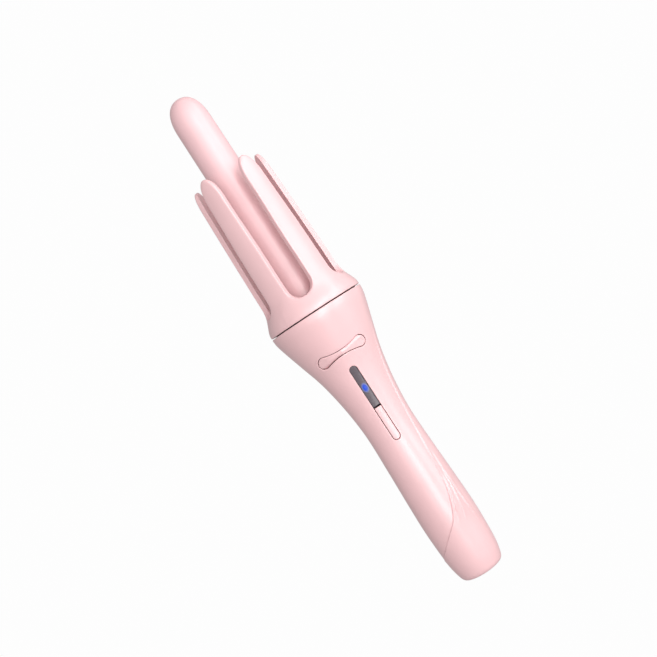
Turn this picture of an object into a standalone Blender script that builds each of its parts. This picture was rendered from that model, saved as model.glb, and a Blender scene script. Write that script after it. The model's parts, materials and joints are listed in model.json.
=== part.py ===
"""Cordless automatic hair curler: a heated barrel inside a motor-driven crown of claws, on a waisted handle.

Design frame: +Y runs along the curler from its butt to the barrel's tip, +Z leaves its button side, +X is its
right-hand side. The whole design hangs from one empty, which lays the curler on its back on the ground plane:
it rests on its collar and on the swell of its handle, so its axis climbs towards the tip.

Lengths below are metres unless a line says millimetres. S is a station along the axis; the butt face is at
BUTT_S. An azimuth is measured about the axis from +Z towards +X.
"""

import math

import bmesh
import bpy
from mathutils import Vector

MM = 0.001
FACETS = 34  # sides of a full turned shape, an odd number per half so that a flat faces down
FIT = 0.3 * MM  # gap between pieces that touch or are pressed together
CLOSE_FIT = 0.15 * MM  # radial gap of a pressed or soldered round piece

# Handle shell: (station, radius) knots, in millimetres, of the smooth outer line, after the rounded butt edge.
BUTT_S = 3.0 * MM
BUTT_EDGE = [(3.0, 12.2), (3.25, 13.1), (4.0, 14.0)]
HANDLE_LINE = [
    (6.3, 15.25), (10.0, 16.2), (14.5, 17.0), (24.0, 17.8), (42.0, 18.4), (62.0, 17.95), (86.0, 17.1),
    (111.0, 16.5), (127.0, 17.5), (142.0, 19.5), (157.0, 22.5), (172.0, 27.0), (184.0, 30.6), (192.0, 32.7),
    (196.5, 33.1),
]
HANDLE_STATIONS = [s * MM for s, _ in HANDLE_LINE]
WAIST_S = 111.0 * MM
WALL = 2.2 * MM
SEAM_S = 196.5 * MM
SHELL_GAP_DEG = 0.45  # each half shell stops this far short of the parting plane
PARTING_GAP = 0.4 * MM  # and each screw boss this far
OUTSIDE = 40.0 * MM  # a height beyond the handle's surface, for cutters

# Gear deck and its ledge in the shells.
DECK_S = (189.5 * MM, 191.5 * MM)
DECK_R = 29.3 * MM
LEDGE_R = 28.6 * MM
LEDGE_THICK = 1.4 * MM
WIRE_BORE_R = 7.6 * MM

# Crown: one moulding, a collar that carries five claws. The lines' knots are in millimetres.
CLAWS = 5
CROWN_LINE = [
    (197.3, 33.0), (199.5, 32.95), (202.0, 32.2), (205.0, 30.9), (208.0, 29.6), (210.5, 28.8), (214.0, 28.2),
    (225.0, 27.95), (256.0, 27.3), (290.0, 26.45), (298.0, 26.0), (302.3, 25.3),
]
CLAW_BACK_LINE = [(302.3, 23.7), (298.0, 22.9), (256.0, 24.05), (213.0, 24.8), (206.5, 23.9), (204.0, 21.8)]
CROWN_FOOT_S = 197.3 * MM
WEB_S = (200.0 * MM, 204.0 * MM)
HUB_R = (13.15 * MM, 14.6 * MM)
HUB_FOOT_S = 193.6 * MM
WASHER_R = (13.3 * MM, 14.5 * MM)
SKIRT_BORE_R = 30.0 * MM
SLOT_FOOT_S = 208.3 * MM
SLOT_FOOT_ROUND = 9.0 * MM  # height of the slot's rounded foot
CLAW_FOOT_S = SLOT_FOOT_S + SLOT_FOOT_ROUND
CLAW_TIP_S = 302.3 * MM
CLAW_HALF_DEG = (17.6, 14.9)  # half angle a claw spans at its foot, and at its tip before the tip is rounded
CLAW_ROUNDING_S = 284.0 * MM
CLAW_ROUNDING_POWERS = (2.4, 2.0)

# Barrel: a drawn tube with a domed tip.
TIP_S = 356.9 * MM
DOME = 20.3 * MM
DOME_POWER = 2.4
DOME_STEPS = 8
BARREL_R = (12.9 * MM, 12.3 * MM)  # at the foot and where the dome starts
BARREL_FOOT_S = 206.6 * MM
BARREL_WALL = 1.0 * MM
MOUNT_R = 13.0 * MM
MOUNT_FLANGE_R = 15.8 * MM
SPIGOT_R = 11.2 * MM
SPIGOT_TOP_S = 216.0 * MM
SPREADER_S = (222.0 * MM, 334.0 * MM)
LEAD_ROUTE = [  # (x, station, z), in millimetres
    (3.4, 175.0, 9.1), (3.4, 180.0, 8.2), (3.4, 186.0, 5.8), (3.6, 194.0, 3.6), (3.8, 206.0, 1.8),
    (4.0, 216.0, 0.4), (4.0, 225.4, 0.0),
]

# Gear train: motor pinion, transfer wheel, drive pinion, ring gear in the crown.
RING = {"teeth": 52, "module": 1.0 * MM}
DRIVE = {"teeth": 10, "module": 1.0 * MM}
WHEEL = {"teeth": 16, "module": 0.8 * MM}
MOTOR_PINION = {"teeth": 10, "module": 0.8 * MM}
PRESSURE_ANGLE = math.radians(20.0)
BACKLASH = 0.15 * MM  # taken off each tooth, and added to each tooth space of the ring
RING_OUTER_R = 29.6 * MM
SHAFT_R = 1.5 * MM
SHAFT_HOLE_R = 1.6 * MM
IDLER_OFFSET = (RING["teeth"] - DRIVE["teeth"]) * RING["module"] / 2
MOTOR_OFFSET = IDLER_OFFSET - (WHEEL["teeth"] + MOTOR_PINION["teeth"]) * WHEEL["module"] / 2
RING_S = (192.5 * MM, 199.7 * MM)
DRIVE_S = (192.8 * MM, 198.6 * MM)
WHEEL_S = (185.6 * MM, 188.9 * MM)
PLATE_S = (183.0 * MM, 185.0 * MM)
PLATE_R = 27.4 * MM
POST_RADIUS_AT = 20.5 * MM
POST_AZIMUTHS = (0.0, 115.0, 245.0)
MOUNT_SCREWS_AT = 10.4 * MM
MOUNT_SCREW_AZIMUTHS = (0.0, 120.0, 240.0)
MOTOR_R = 7.5 * MM
GEARBOX_S = (173.0 * MM, 182.7 * MM)
MOTOR_CAN_S = (154.0 * MM, 172.7 * MM)

# Controls on the button side.
ROCKER_S = 167.0 * MM
ROCKER_HALF = 17.0 * MM
ROCKER_END_R = 3.9 * MM
ROCKER_BLEND_DEG = 17.0
ROCKER_PIVOT_Z = 19.4 * MM
ROCKER_PEG_X = 9.0 * MM
KEY_GAP = 0.35 * MM
KEY_THICK = 2.0 * MM
SLOT_HALF = 2.75 * MM
SLOT_S = (102.6 * MM, 156.4 * MM)
WINDOW_FOOT_S = 126.6 * MM
WINDOW_GAP = 0.2 * MM
WINDOW_SUNK = 0.15 * MM
WINDOW_THICK = WALL + 0.7 * MM
FLANGE_OUT = 1.2 * MM
FLANGE_THICK = 0.8 * MM
BUTTON_STEM_S = 114.5 * MM
LED_S = 141.0 * MM

# Chassis, battery and boards.
CELL_R = 9.1 * MM
CELL_BUTTON_R = 2.8 * MM
CELL_Z = -3.6 * MM
CELLS_S = ((17.0 * MM, 82.0 * MM), (84.0 * MM, 149.0 * MM))
CRADLE_R = (9.5 * MM, 10.2 * MM)
CRADLE_S = (16.4 * MM, 150.4 * MM)
CRADLE_END = 0.9 * MM
CRADLE_TOP_Z = 6.1 * MM
BOARD_Z = (6.4 * MM, 7.6 * MM)
BOARD_S = (84.0 * MM, 178.0 * MM)
BOARD_HALF = 10.0 * MM
BRACKET_Z = (12.0 * MM, 13.6 * MM)
SWITCH_BOARD_Z = (13.9 * MM, 14.9 * MM)

# Shell screws: (side offset, station, boss radius).
TOP_SCREW = (18.0 * MM, 178.0 * MM, 3.2 * MM)
TAIL_SCREW = (8.8 * MM, 12.2 * MM, 2.5 * MM)
BIG_BOSS_R = 3.0 * MM  # a wider boss takes the larger screw
BORE_R = 1.35 * MM
SHANK_R = 1.0 * MM
HEAD_SUNK = 4.5 * MM

# Butt plug and its charging socket.
PLUG_R = 10.3 * MM
PLUG_FLANGE_R = 11.7 * MM
PLUG_FLANGE_S = (BUTT_S + 2.5 * MM, BUTT_S + 4.0 * MM)
GROOVE_TOP_S = BUTT_S + 5.5 * MM
GROOVE_LIP_R = 11.2 * MM
USB_HALF = (4.5 * MM, 1.65 * MM)
USB_S = (BUTT_S + 0.8 * MM, BUTT_S + 8.2 * MM)

PINK = (0.86, 0.56, 0.58)
STEEL = (0.62, 0.62, 0.64)
FINISHES = {  # name: (base colour, roughness, metallic)
    "pink_shell": (PINK, 0.42, 0.0),
    "pink_barrel": ((0.88, 0.60, 0.62), 0.34, 0.0),
    "pink_crown": ((0.87, 0.57, 0.59), 0.40, 0.0),
    "smoked_window": ((0.10, 0.085, 0.10), 0.12, 0.0),
    "steel": (STEEL, 0.35, 1.0),
    "brass": ((0.80, 0.62, 0.30), 0.35, 1.0),
    "aluminium": ((0.75, 0.75, 0.76), 0.45, 1.0),
    "white_nylon": ((0.85, 0.84, 0.80), 0.5, 0.0),
    "black_nylon": ((0.03, 0.03, 0.035), 0.5, 0.0),
    "heat_resin": ((0.16, 0.13, 0.12), 0.6, 0.0),
    "board_green": ((0.02, 0.16, 0.07), 0.4, 0.0),
    "cell_wrap": ((0.05, 0.20, 0.42), 0.35, 0.0),
    "heater_ceramic": ((0.80, 0.78, 0.72), 0.7, 0.0),
    "clear_guide": ((0.85, 0.88, 0.90), 0.1, 0.0),
    "led_blue": ((0.05, 0.16, 0.95), 0.2, 0.0),
    "wire_red": ((0.55, 0.04, 0.03), 0.5, 0.0),
}


# Outlines ----------------------------------------------------------------------------------------------------


def smooth_line(knots, at):
    """Height at a station, on the smooth curve through the knots, both in the knots' own unit."""
    stations = [k[0] for k in knots]
    at = min(max(at, stations[0]), stations[-1])
    i = max(n for n in range(len(knots) - 1) if stations[n] <= at)

    def slope(n):
        a, b = knots[max(n - 1, 0)], knots[min(n + 1, len(knots) - 1)]
        return (b[1] - a[1]) / (b[0] - a[0])

    (s0, h0), (s1, h1) = knots[i], knots[i + 1]
    span = s1 - s0
    t = (at - s0) / span
    rise = (2 * t**3 - 3 * t**2 + 1) * h0 + (3 * t**2 - 2 * t**3) * h1
    return rise + span * ((t**3 - 2 * t**2 + t) * slope(i) + (t**3 - t**2) * slope(i + 1))


def handle_radius(station):
    """Outer radius of the handle, in metres, at a station in metres."""
    return smooth_line(HANDLE_LINE, station / MM) * MM


def in_metres(points):
    return [(s * MM, r * MM) for s, r in points]


def claw_half_angle(station):
    """Half the angle, in degrees, that a claw spans about the axis at a station."""
    foot, tip = CLAW_HALF_DEG
    width = foot + (tip - foot) * (station - CLAW_FOOT_S) / (CLAW_TIP_S - CLAW_FOOT_S)
    along = min(max((station - CLAW_ROUNDING_S) / (CLAW_TIP_S - CLAW_ROUNDING_S), 0.0), 1.0)
    power, root = CLAW_ROUNDING_POWERS
    return width * (1 - along**power) ** (1 / root)


def arc(centre, radius, start_deg, end_deg, steps):
    """Points of an arc about a centre, angles counted from the first axis towards the second."""
    turn = (end_deg - start_deg) / steps
    angles = [math.radians(start_deg + turn * n) for n in range(steps + 1)]
    return [(centre[0] + radius * math.cos(a), centre[1] + radius * math.sin(a)) for a in angles]


def bow_tie(gap):
    """(x, s) outline of the rocker: two round lobes joined by hollow edges, drawn in by a gap."""
    end_r = ROCKER_END_R - gap
    lobe_x = ROCKER_HALF - ROCKER_END_R
    blend = math.radians(90 + ROCKER_BLEND_DEG)
    join_x, join_s = lobe_x + end_r * math.cos(blend), end_r * math.sin(blend)
    hollow = math.tan(math.radians(ROCKER_BLEND_DEG)) / (2 * join_x)
    waist = join_s - hollow * join_x**2
    right = arc((lobe_x, 0), end_r, -90 - ROCKER_BLEND_DEG, 90 + ROCKER_BLEND_DEG, 9)
    top = [(x, waist + hollow * x**2) for x in (0.6 * join_x, 0.2 * join_x, -0.2 * join_x, -0.6 * join_x)]
    left = [(-x, -s) for x, s in right]
    bottom = [(-x, -s) for x, s in top]
    return [(x, ROCKER_S + s) for x, s in right + top + left + bottom]


def slot_outline(start, end, half, round_foot, round_head):
    """(x, s) outline of a strip along the axis, with round or square ends."""
    foot = arc((0, start + half), half, 180, 360, 8) if round_foot else [(-half, start), (half, start)]
    head = arc((0, end - half), half, 0, 180, 8) if round_head else [(half, end), (-half, end)]
    return foot + head


def stadium(half_x, half_z, steps=6):
    """(x, z) outline of a slot with round ends, centred on the axis."""
    reach = half_x - half_z
    right = arc((reach, 0), half_z, -90, 90, steps)
    return right + [(-x, -z) for x, z in right]


def gear_outline(teeth, module, tip, root, tooth_deg, extra=0.0):
    """Involute gear outline about the origin, with one tooth centred on tooth_deg. extra widens each tooth."""
    pitch_r = teeth * module / 2
    base_r = pitch_r * math.cos(PRESSURE_ANGLE)
    half_pitch = (math.pi * module / 2 + extra) / (2 * pitch_r)

    def involute(angle):
        return math.tan(angle) - angle

    def half_tooth(radius):
        pressure = math.acos(min(1.0, base_r / radius))
        return half_pitch + involute(PRESSURE_ANGLE) - involute(pressure)

    radii = [root, max(base_r, root + 0.25 * (tip - root)), root + 0.65 * (tip - root), tip]
    points = []
    for n in range(teeth):
        centre = math.radians(tooth_deg) + n * 2 * math.pi / teeth
        flank = [(r, half_tooth(max(r, base_r))) for r in radii]
        for r, half in flank:
            points.append((r * math.cos(centre - half), r * math.sin(centre - half)))
        for r, half in reversed(flank):
            points.append((r * math.cos(centre + half), r * math.sin(centre + half)))
    return points


# Solids ------------------------------------------------------------------------------------------------------


def material(name, finish_name):
    """A piece's own material, in one of the named finishes."""
    colour, roughness, metallic = FINISHES[finish_name]
    made = bpy.data.materials.new(name)
    made.use_nodes = True
    shader = made.node_tree.nodes["Principled BSDF"]
    shader.inputs["Base Color"].default_value = (*colour, 1.0)
    shader.inputs["Roughness"].default_value = roughness
    shader.inputs["Metallic"].default_value = metallic
    made.diffuse_color = (*colour, 1.0)
    return made


def finish(name, bm, finish_name, parent, location=(0, 0, 0)):
    """Turns a bmesh into a named object of one material, under a parent."""
    bmesh.ops.remove_doubles(bm, verts=bm.verts, dist=1e-6)
    bmesh.ops.recalc_face_normals(bm, faces=bm.faces)
    mesh = bpy.data.meshes.new(name)
    bm.to_mesh(mesh)
    bm.free()
    mesh.shade_smooth()
    mesh.set_sharp_from_angle(angle=math.radians(35))
    obj = bpy.data.objects.new(name, mesh)
    bpy.context.scene.collection.objects.link(obj)
    obj.parent = parent
    obj.location = location
    if finish_name:
        mesh.materials.append(material(name, finish_name))
    return obj


def turned(name, section, finish_name, parent, start_deg=None, sweep_deg=360.0, steps=FACETS, centre=(0, 0)):
    """Spins a closed (station, radius) section about the axis, or about a line beside it at centre (x, z)."""
    full = sweep_deg >= 360.0
    start = math.radians(180.0 / steps if start_deg is None else start_deg)
    bm = bmesh.new()
    ring = [bm.verts.new((r * math.sin(start), s, r * math.cos(start))) for s, r in section]
    face = bm.faces.new(ring)
    if full:
        edges = list(face.edges)
        bmesh.ops.delete(bm, geom=[face], context="FACES_ONLY")
        geom = edges + ring
    else:
        geom = [face] + list(face.edges) + ring
    bmesh.ops.spin(
        bm, geom=geom, cent=(0, 0, 0), axis=(0, 1, 0), angle=math.radians(sweep_deg), steps=steps,
        use_merge=full, use_duplicate=False,
    )
    bmesh.ops.remove_doubles(bm, verts=bm.verts, dist=1e-6)
    bmesh.ops.dissolve_degenerate(bm, dist=1e-7, edges=bm.edges)
    loose = [e for e in bm.edges if not e.link_faces]
    bmesh.ops.delete(bm, geom=loose, context="EDGES")
    return finish(name, bm, finish_name, parent, (centre[0], 0, centre[1]))


def extruded(name, outline, along, finish_name, parent, location=(0, 0, 0), to_point=None):
    """Extrudes an outline from along[0] to along[1]. to_point lays (a, b, height) out in the design frame."""
    to_point = to_point or (lambda a, b, h: (a, h, b))
    bm = bmesh.new()
    face = bm.faces.new([bm.verts.new(to_point(a, b, along[0])) for a, b in outline])
    pushed = bmesh.ops.extrude_face_region(bm, geom=[face])["geom"]
    shift = Vector(to_point(0, 0, along[1])) - Vector(to_point(0, 0, along[0]))
    bmesh.ops.translate(bm, vec=shift, verts=[v for v in pushed if isinstance(v, bmesh.types.BMVert)])
    return finish(name, bm, finish_name, parent, location)


def upright(a, b, h):
    """Lays an (x, s) outline flat, to be extruded along the button side's normal."""
    return (a, b, h)


def rod(name, along, radius, finish_name, parent, x=0.0, z=0.0, sides=12):
    """A round bar along the curler's axis, at (x, z)."""
    outline = arc((0, 0), radius, 0, 360 - 360 / sides, sides - 1)
    return extruded(name, outline, along, finish_name, parent, (x, 0, z))


def post(name, heights, radius, finish_name, parent, x=0.0, s=0.0, sides=12):
    """A round bar along the button side's normal, at (x, s)."""
    outline = arc((0, 0), radius, 0, 360 - 360 / sides, sides - 1)
    return extruded(name, outline, heights, finish_name, parent, (x, s, 0), upright)


def block(name, xs, stations, heights, finish_name, parent):
    outline = [(xs[0], stations[0]), (xs[1], stations[0]), (xs[1], stations[1]), (xs[0], stations[1])]
    return extruded(name, outline, heights, finish_name, parent, to_point=upright)


def helper(obj):
    """Hides an object that only cuts, clips or adds to another."""
    obj.hide_render = True
    obj.display_type = "WIRE"
    return obj


def boolean(obj, operand, operation):
    step = obj.modifiers.new(f"{operation.lower()}_{operand.name}", "BOOLEAN")
    step.operation = operation
    step.solver = "EXACT"
    step.object = helper(operand)
    return obj


def cut(obj, *cutters):
    for cutter in cutters:
        boolean(obj, cutter, "DIFFERENCE")
    return obj


def add(obj, *pieces):
    for piece in pieces:
        boolean(obj, piece, "UNION")
    return obj


def at_azimuth(radius, azimuth_deg):
    """(x, z) of a point at a radius and azimuth about the axis."""
    a = math.radians(azimuth_deg)
    return radius * math.sin(a), radius * math.cos(a)


def resting_pose():
    """(tilt, height, mid-length shift) that lay the curler on its collar and its handle's swell."""
    flat = math.cos(math.pi / FACETS)  # a flat of a turned shape lies this share of its radius from the axis
    handle = [(s, handle_radius(s) * flat) for s in HANDLE_STATIONS]
    rim = handle[-1]
    tilt = min(math.atan2(rim[1] - r, rim[0] - s) for s, r in handle if s < WAIST_S)
    butt = [(s, r * flat) for s, r in in_metres(BUTT_EDGE)]
    dome_line = [(s, r * flat) for s, r in dome(DOME, BARREL_R[1], DOME_STEPS)]
    outline = butt + handle + dome_line
    low = min(s * math.sin(tilt) - r * math.cos(tilt) for s, r in outline)
    back = min(s * math.cos(tilt) - r * math.sin(tilt) for s, r in outline)
    front = max(s * math.cos(tilt) + r * math.sin(tilt) for s, r in outline)
    return tilt, -low, -(back + front) / 2


def empty(name, parent=None, location=(0, 0, 0)):
    made = bpy.data.objects.new(name, None)
    made.empty_display_size = 0.01
    bpy.context.scene.collection.objects.link(made)
    made.parent = parent
    made.location = location
    return made


# Handle ------------------------------------------------------------------------------------------------------


def shell_section():
    """Closed (station, radius) section of the handle's wall, with the plug's groove and the deck's ledge."""
    outer = in_metres(BUTT_EDGE) + [(s, handle_radius(s)) for s in HANDLE_STATIONS]
    deck_foot = DECK_S[0] - FIT
    ledge = [
        (deck_foot, handle_radius(deck_foot) - WALL), (deck_foot, LEDGE_R), (deck_foot - LEDGE_THICK, LEDGE_R),
        (deck_foot - 2 * LEDGE_THICK, handle_radius(deck_foot - 2 * LEDGE_THICK) - WALL),
    ]
    top = [(SEAM_S, handle_radius(SEAM_S) - WALL)] + ledge
    inside = [(s, handle_radius(s) - WALL) for s in HANDLE_STATIONS[::-1] if GROOVE_TOP_S < s < ledge[-1][0]]
    groove_side = (GROOVE_TOP_S, handle_radius(GROOVE_TOP_S) - WALL)
    foot, head = PLUG_FLANGE_S[0] - FIT, PLUG_FLANGE_S[1] + FIT
    groove = [
        groove_side, (GROOVE_TOP_S, GROOVE_LIP_R), (head, GROOVE_LIP_R), (head, PLUG_FLANGE_R + FIT),
        (foot, PLUG_FLANGE_R + FIT), (foot, PLUG_R + FIT), (BUTT_S, PLUG_R + FIT),
    ]
    return outer + top + inside + groove


def half_shell(name, middle_deg, parent):
    sweep = 180.0 - 2 * SHELL_GAP_DEG
    return turned(name, shell_section(), "pink_shell", parent, middle_deg - sweep / 2, sweep, FACETS // 2)


def screw_places():
    """(name, x, station, boss radius) of each shell screw."""
    rows = (("top", TOP_SCREW), ("tail", TAIL_SCREW))
    return [
        (f"{row}_{side}", sign * x, s, boss)
        for row, (x, s, boss) in rows
        for side, sign in (("left", -1), ("right", 1))
    ]


def boss_reach(x, s, boss):
    """Height at which a screw boss is well inside the shell's wall."""
    return math.sqrt((handle_radius(s - boss) - WALL / 2) ** 2 - (abs(x) + boss / 2) ** 2)


def head_seat(x, s):
    """Height of the bottom of a screw's well in the rear shell."""
    return HEAD_SUNK - math.sqrt(handle_radius(s) ** 2 - x**2)


def front_shell(parent):
    shell = half_shell("handle_front_shell", 0.0, parent)
    for name, x, s, boss in screw_places():
        add(shell, post(f"boss_{name}", (PARTING_GAP, boss_reach(x, s, boss)), boss, None, parent, x, s))
        cut(shell, post(f"boss_bore_{name}", (-1 * MM, 7.0 * MM), BORE_R, None, parent, x, s, 8))
    slot = slot_outline(*SLOT_S, SLOT_HALF, True, True)
    cut(
        shell,
        extruded("rocker_opening", bow_tie(0), (5 * MM, OUTSIDE), None, parent, to_point=upright),
        extruded("slot_opening", slot, (9.5 * MM, OUTSIDE), None, parent, to_point=upright),
    )
    return shell


def rear_shell(parent):
    shell = half_shell("handle_rear_shell", 180.0, parent)
    for name, x, s, boss in screw_places():
        well_r = 2.2 * MM if boss > BIG_BOSS_R else 1.9 * MM
        add(shell, post(f"sleeve_{name}", (-boss_reach(x, s, boss), -PARTING_GAP), boss, None, parent, x, s))
        cut(
            shell,
            post(f"head_well_{name}", (-OUTSIDE, head_seat(x, s)), well_r, None, parent, x, s),
            post(f"screw_hole_{name}", (-OUTSIDE, 1 * MM), BORE_R, None, parent, x, s, 8),
        )
    return shell


def shell_screws(parent):
    for name, x, s, boss in screw_places():
        seat = head_seat(x, s) - FIT
        head_r = 1.9 * MM if boss > BIG_BOSS_R else 1.6 * MM
        screw = post(f"shell_screw_{name}", (seat - 1.4 * MM, seat), head_r, "steel", parent, x, s)
        add(screw, post(f"shank_{name}", (seat - 0.5 * MM, 6.0 * MM), SHANK_R, None, parent, x, s, 8))
        for turn in (0, 90):
            slot = block(f"recess_{name}_{turn}", (-0.25 * MM, 0.25 * MM), (-1.0 * MM, 1.0 * MM),
                         (seat - 2 * MM, seat - 0.8 * MM), None, parent)
            slot.location = (x, s, 0)
            slot.rotation_euler = (0, 0, math.radians(turn))
            cut(screw, slot)


def butt_plug(parent):
    foot, head = PLUG_FLANGE_S
    section = [
        (BUTT_S, 0), (BUTT_S, PLUG_R), (foot, PLUG_R), (foot, PLUG_FLANGE_R), (head, PLUG_FLANGE_R), (head, 0),
    ]
    plug = turned("butt_plug", section, "pink_shell", parent)
    mouth = stadium(USB_HALF[0] + FIT, USB_HALF[1] + FIT)
    return cut(plug, extruded("plug_mouth", mouth, (BUTT_S - MM, head + MM), None, parent))


def charging_socket(parent):
    wall = 0.35 * MM
    socket = extruded("charging_socket", stadium(*USB_HALF), USB_S, "steel", parent)
    mouth = stadium(USB_HALF[0] - wall, USB_HALF[1] - wall)
    cut(socket, extruded("socket_mouth", mouth, (BUTT_S, USB_S[1] - MM), None, parent))
    tongue_s = (USB_S[0] + 1.4 * MM, USB_S[1] - 0.6 * MM)
    add(socket, block("socket_tongue", (-3.3 * MM, 3.3 * MM), tongue_s, (-0.35 * MM, 0.35 * MM), None, parent))
    board_s = (USB_S[1] - 2.4 * MM, CRADLE_S[0] - 0.8 * MM)
    block("charging_board", (-6 * MM, 6 * MM), board_s, (-2.9 * MM, -1.95 * MM), "board_green", parent)


# Controls ----------------------------------------------------------------------------------------------------


def skin(name, drop, thick, stations, finish_name, parent, half_deg=50.0):
    """A curved strip of the handle's own surface, sunk by drop, to be clipped to an outline."""
    steps = 5
    reach = [stations[0] + (stations[1] - stations[0]) * n / steps for n in range(steps + 1)]
    outer = [(s, handle_radius(s) - drop) for s in reach]
    inner = [(s, handle_radius(s) - drop - thick) for s in reversed(reach)]
    return turned(name, outer + inner, finish_name, parent, -half_deg, 2 * half_deg, 14)


def clipped(obj, outline, parent):
    clip = extruded(f"clip_{obj.name}", outline, (3 * MM, OUTSIDE), None, parent, to_point=upright)
    return boolean(obj, clip, "INTERSECT")


def rocker(parent, pivot):
    span = (ROCKER_S - 6 * MM, ROCKER_S + 6 * MM)
    key = clipped(skin("rocker_button", 0.0, KEY_THICK, span, "pink_shell", parent), bow_tie(KEY_GAP), parent)
    surface = handle_radius(ROCKER_S)
    lug = block("rocker_lug", (-1.9 * MM, 1.9 * MM), (ROCKER_S - 1.25 * MM, ROCKER_S + 1.25 * MM),
                (ROCKER_PIVOT_Z - 1.9 * MM, surface - 0.6 * MM), None, parent)
    add(key, lug)
    for side in (-1, 1):
        under = math.sqrt((surface - 1.0 * MM) ** 2 - ROCKER_PEG_X**2)
        x = side * ROCKER_PEG_X
        add(key, post(f"rocker_peg_{side}", (18.8 * MM, under), 1.1 * MM, None, parent, x, ROCKER_S))
    eye_s = (ROCKER_S - 5 * MM, ROCKER_S + 5 * MM)
    cut(key, rod("rocker_eye", eye_s, 0.9 * MM, None, parent, z=ROCKER_PIVOT_Z, sides=10))
    key.parent = pivot
    key.location = -pivot.location
    return key


def rocker_bracket(parent):
    stations = (158.5 * MM, 174 * MM)
    base = block("rocker_bracket", (-14 * MM, 14 * MM), stations, BRACKET_Z, "black_nylon", parent)
    for n, start in enumerate((161.6, 170.4)):
        add(base, block(f"bracket_ear_{n}", (-2.2 * MM, 2.2 * MM), (start * MM, (start + 2) * MM),
                        (13 * MM, ROCKER_PIVOT_Z + 1.5 * MM), None, parent))
    for n, x in enumerate((-12.0, 9.0)):
        for m, s in enumerate((159.0, 170.5)):
            add(base, block(f"bracket_leg_{n}_{m}", (x * MM, (x + 3) * MM), (s * MM, (s + 3) * MM),
                            (BOARD_Z[0], 12.5 * MM), None, parent))
    cut(base, rod("pin_bore", (150 * MM, 180 * MM), 1.0 * MM, None, parent, 0, ROCKER_PIVOT_Z, 10))
    cut(base, block("board_notch", (-BOARD_HALF - FIT, BOARD_HALF + FIT), (150 * MM, 180 * MM),
                    (5 * MM, BOARD_Z[1] + FIT), None, parent))
    rod("rocker_pin", (160.6 * MM, 173.4 * MM), 0.8 * MM, "steel", parent, 0, ROCKER_PIVOT_Z, 10)


def tact_switch(name, x, s, base_z, finish_name, parent):
    """A square switch body with its round plunger."""
    half = 2.25 * MM
    top = base_z + 2.1 * MM
    body = block(name, (x - half, x + half), (s - half, s + half), (base_z, top), finish_name, parent)
    return add(body, post(f"{name}_plunger", (top - 0.6 * MM, top + 0.8 * MM), 1.2 * MM, None, parent, x, s, 10))


def switch_board(parent):
    stations = (164.1 * MM, 169.9 * MM)
    block("switch_board", (-13.5 * MM, 13.5 * MM), stations, SWITCH_BOARD_Z, "board_green", parent)
    seat = SWITCH_BOARD_Z[1] + FIT / 2
    for side, sign in (("left", -1), ("right", 1)):
        tact_switch(f"rocker_switch_{side}", sign * ROCKER_PEG_X, ROCKER_S, seat, "black_nylon", parent)


def window(parent):
    foot, head = WINDOW_FOOT_S + WINDOW_GAP, SLOT_S[1] - WINDOW_GAP
    reach = (foot - 2 * MM, head + 2 * MM)
    lens = skin("light_window", WINDOW_SUNK, WINDOW_THICK, reach, "smoked_window", parent, 24)
    clipped(lens, slot_outline(foot, head, SLOT_HALF - WINDOW_GAP, False, True), parent)
    flange = skin("window_flange", WALL + FIT, FLANGE_THICK, (foot - 3 * MM, head + 3 * MM), None, parent, 24)
    wide = slot_outline(foot, head + FLANGE_OUT, SLOT_HALF + FLANGE_OUT, False, True)
    return add(lens, clipped(flange, wide, parent))


def power_button(parent, slide):
    foot, head = SLOT_S[0] + KEY_GAP, WINDOW_FOOT_S - WINDOW_GAP
    key = skin("power_button", 0.0, WALL + 0.8 * MM, (foot - 2 * MM, head + 2 * MM), "pink_shell", parent, 24)
    clipped(key, slot_outline(foot, head, SLOT_HALF - KEY_GAP, True, False), parent)
    flange = skin("button_flange", WALL + FIT, FLANGE_THICK, (foot - 3 * MM, head + 3 * MM), None, parent, 24)
    wide = slot_outline(foot - FLANGE_OUT, head, SLOT_HALF + FLANGE_OUT, True, False)
    add(key, clipped(flange, wide, parent))
    stem_top = handle_radius(BUTTON_STEM_S) - 1.5 * MM
    add(key, post("button_stem", (11.4 * MM, stem_top), 1.5 * MM, None, parent, 0, BUTTON_STEM_S, 10))
    key.parent = slide
    key.location = -slide.location
    return key


# Chassis, power and electronics ------------------------------------------------------------------------------


def cradle(parent):
    """Trough that carries the cells; its side walls carry the main board."""
    def u_shape(radius):
        low = arc((0, CELL_Z), radius, 180, 360, 12)
        return low, radius

    outer, outer_r = u_shape(CRADLE_R[1])
    inner, inner_r = u_shape(CRADLE_R[0])
    rim = [(outer_r, CRADLE_TOP_Z), (inner_r, CRADLE_TOP_Z)]
    far_rim = [(-inner_r, CRADLE_TOP_Z), (-outer_r, CRADLE_TOP_Z)]
    trough = extruded("battery_cradle", outer + rim + inner[::-1] + far_rim, CRADLE_S, "white_nylon", parent)
    for n, s in enumerate((CRADLE_S[0], CRADLE_S[1] - CRADLE_END)):
        end = outer[1:-1] + [(outer_r - 0.1 * MM, 0.0), (-outer_r + 0.1 * MM, 0.0)]
        lap = 0.35 * MM
        stations = (s - lap * (1 - 2 * n), s + CRADLE_END - lap)
        add(trough, extruded(f"cradle_end_{n}", end, stations, None, parent))
    return trough


def cells(parent):
    for n, (start, end) in enumerate(CELLS_S, 1):
        foot, shoulder = start + 0.4 * MM, end - 0.9 * MM
        section = [
            (foot, 0), (foot, CELL_R), (shoulder, CELL_R), (shoulder, CELL_BUTTON_R), (end, CELL_BUTTON_R),
            (end, 0),
        ]
        turned(f"battery_cell_{n}", section, "cell_wrap", parent, steps=24, centre=(0, CELL_Z))
    block("cell_link", (-3 * MM, 3 * MM), (CELLS_S[0][1] + 0.4 * MM, CELLS_S[1][0] + 0.05 * MM),
          (CELL_Z - 4 * MM, CELL_Z + 4 * MM), "steel", parent)


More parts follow.
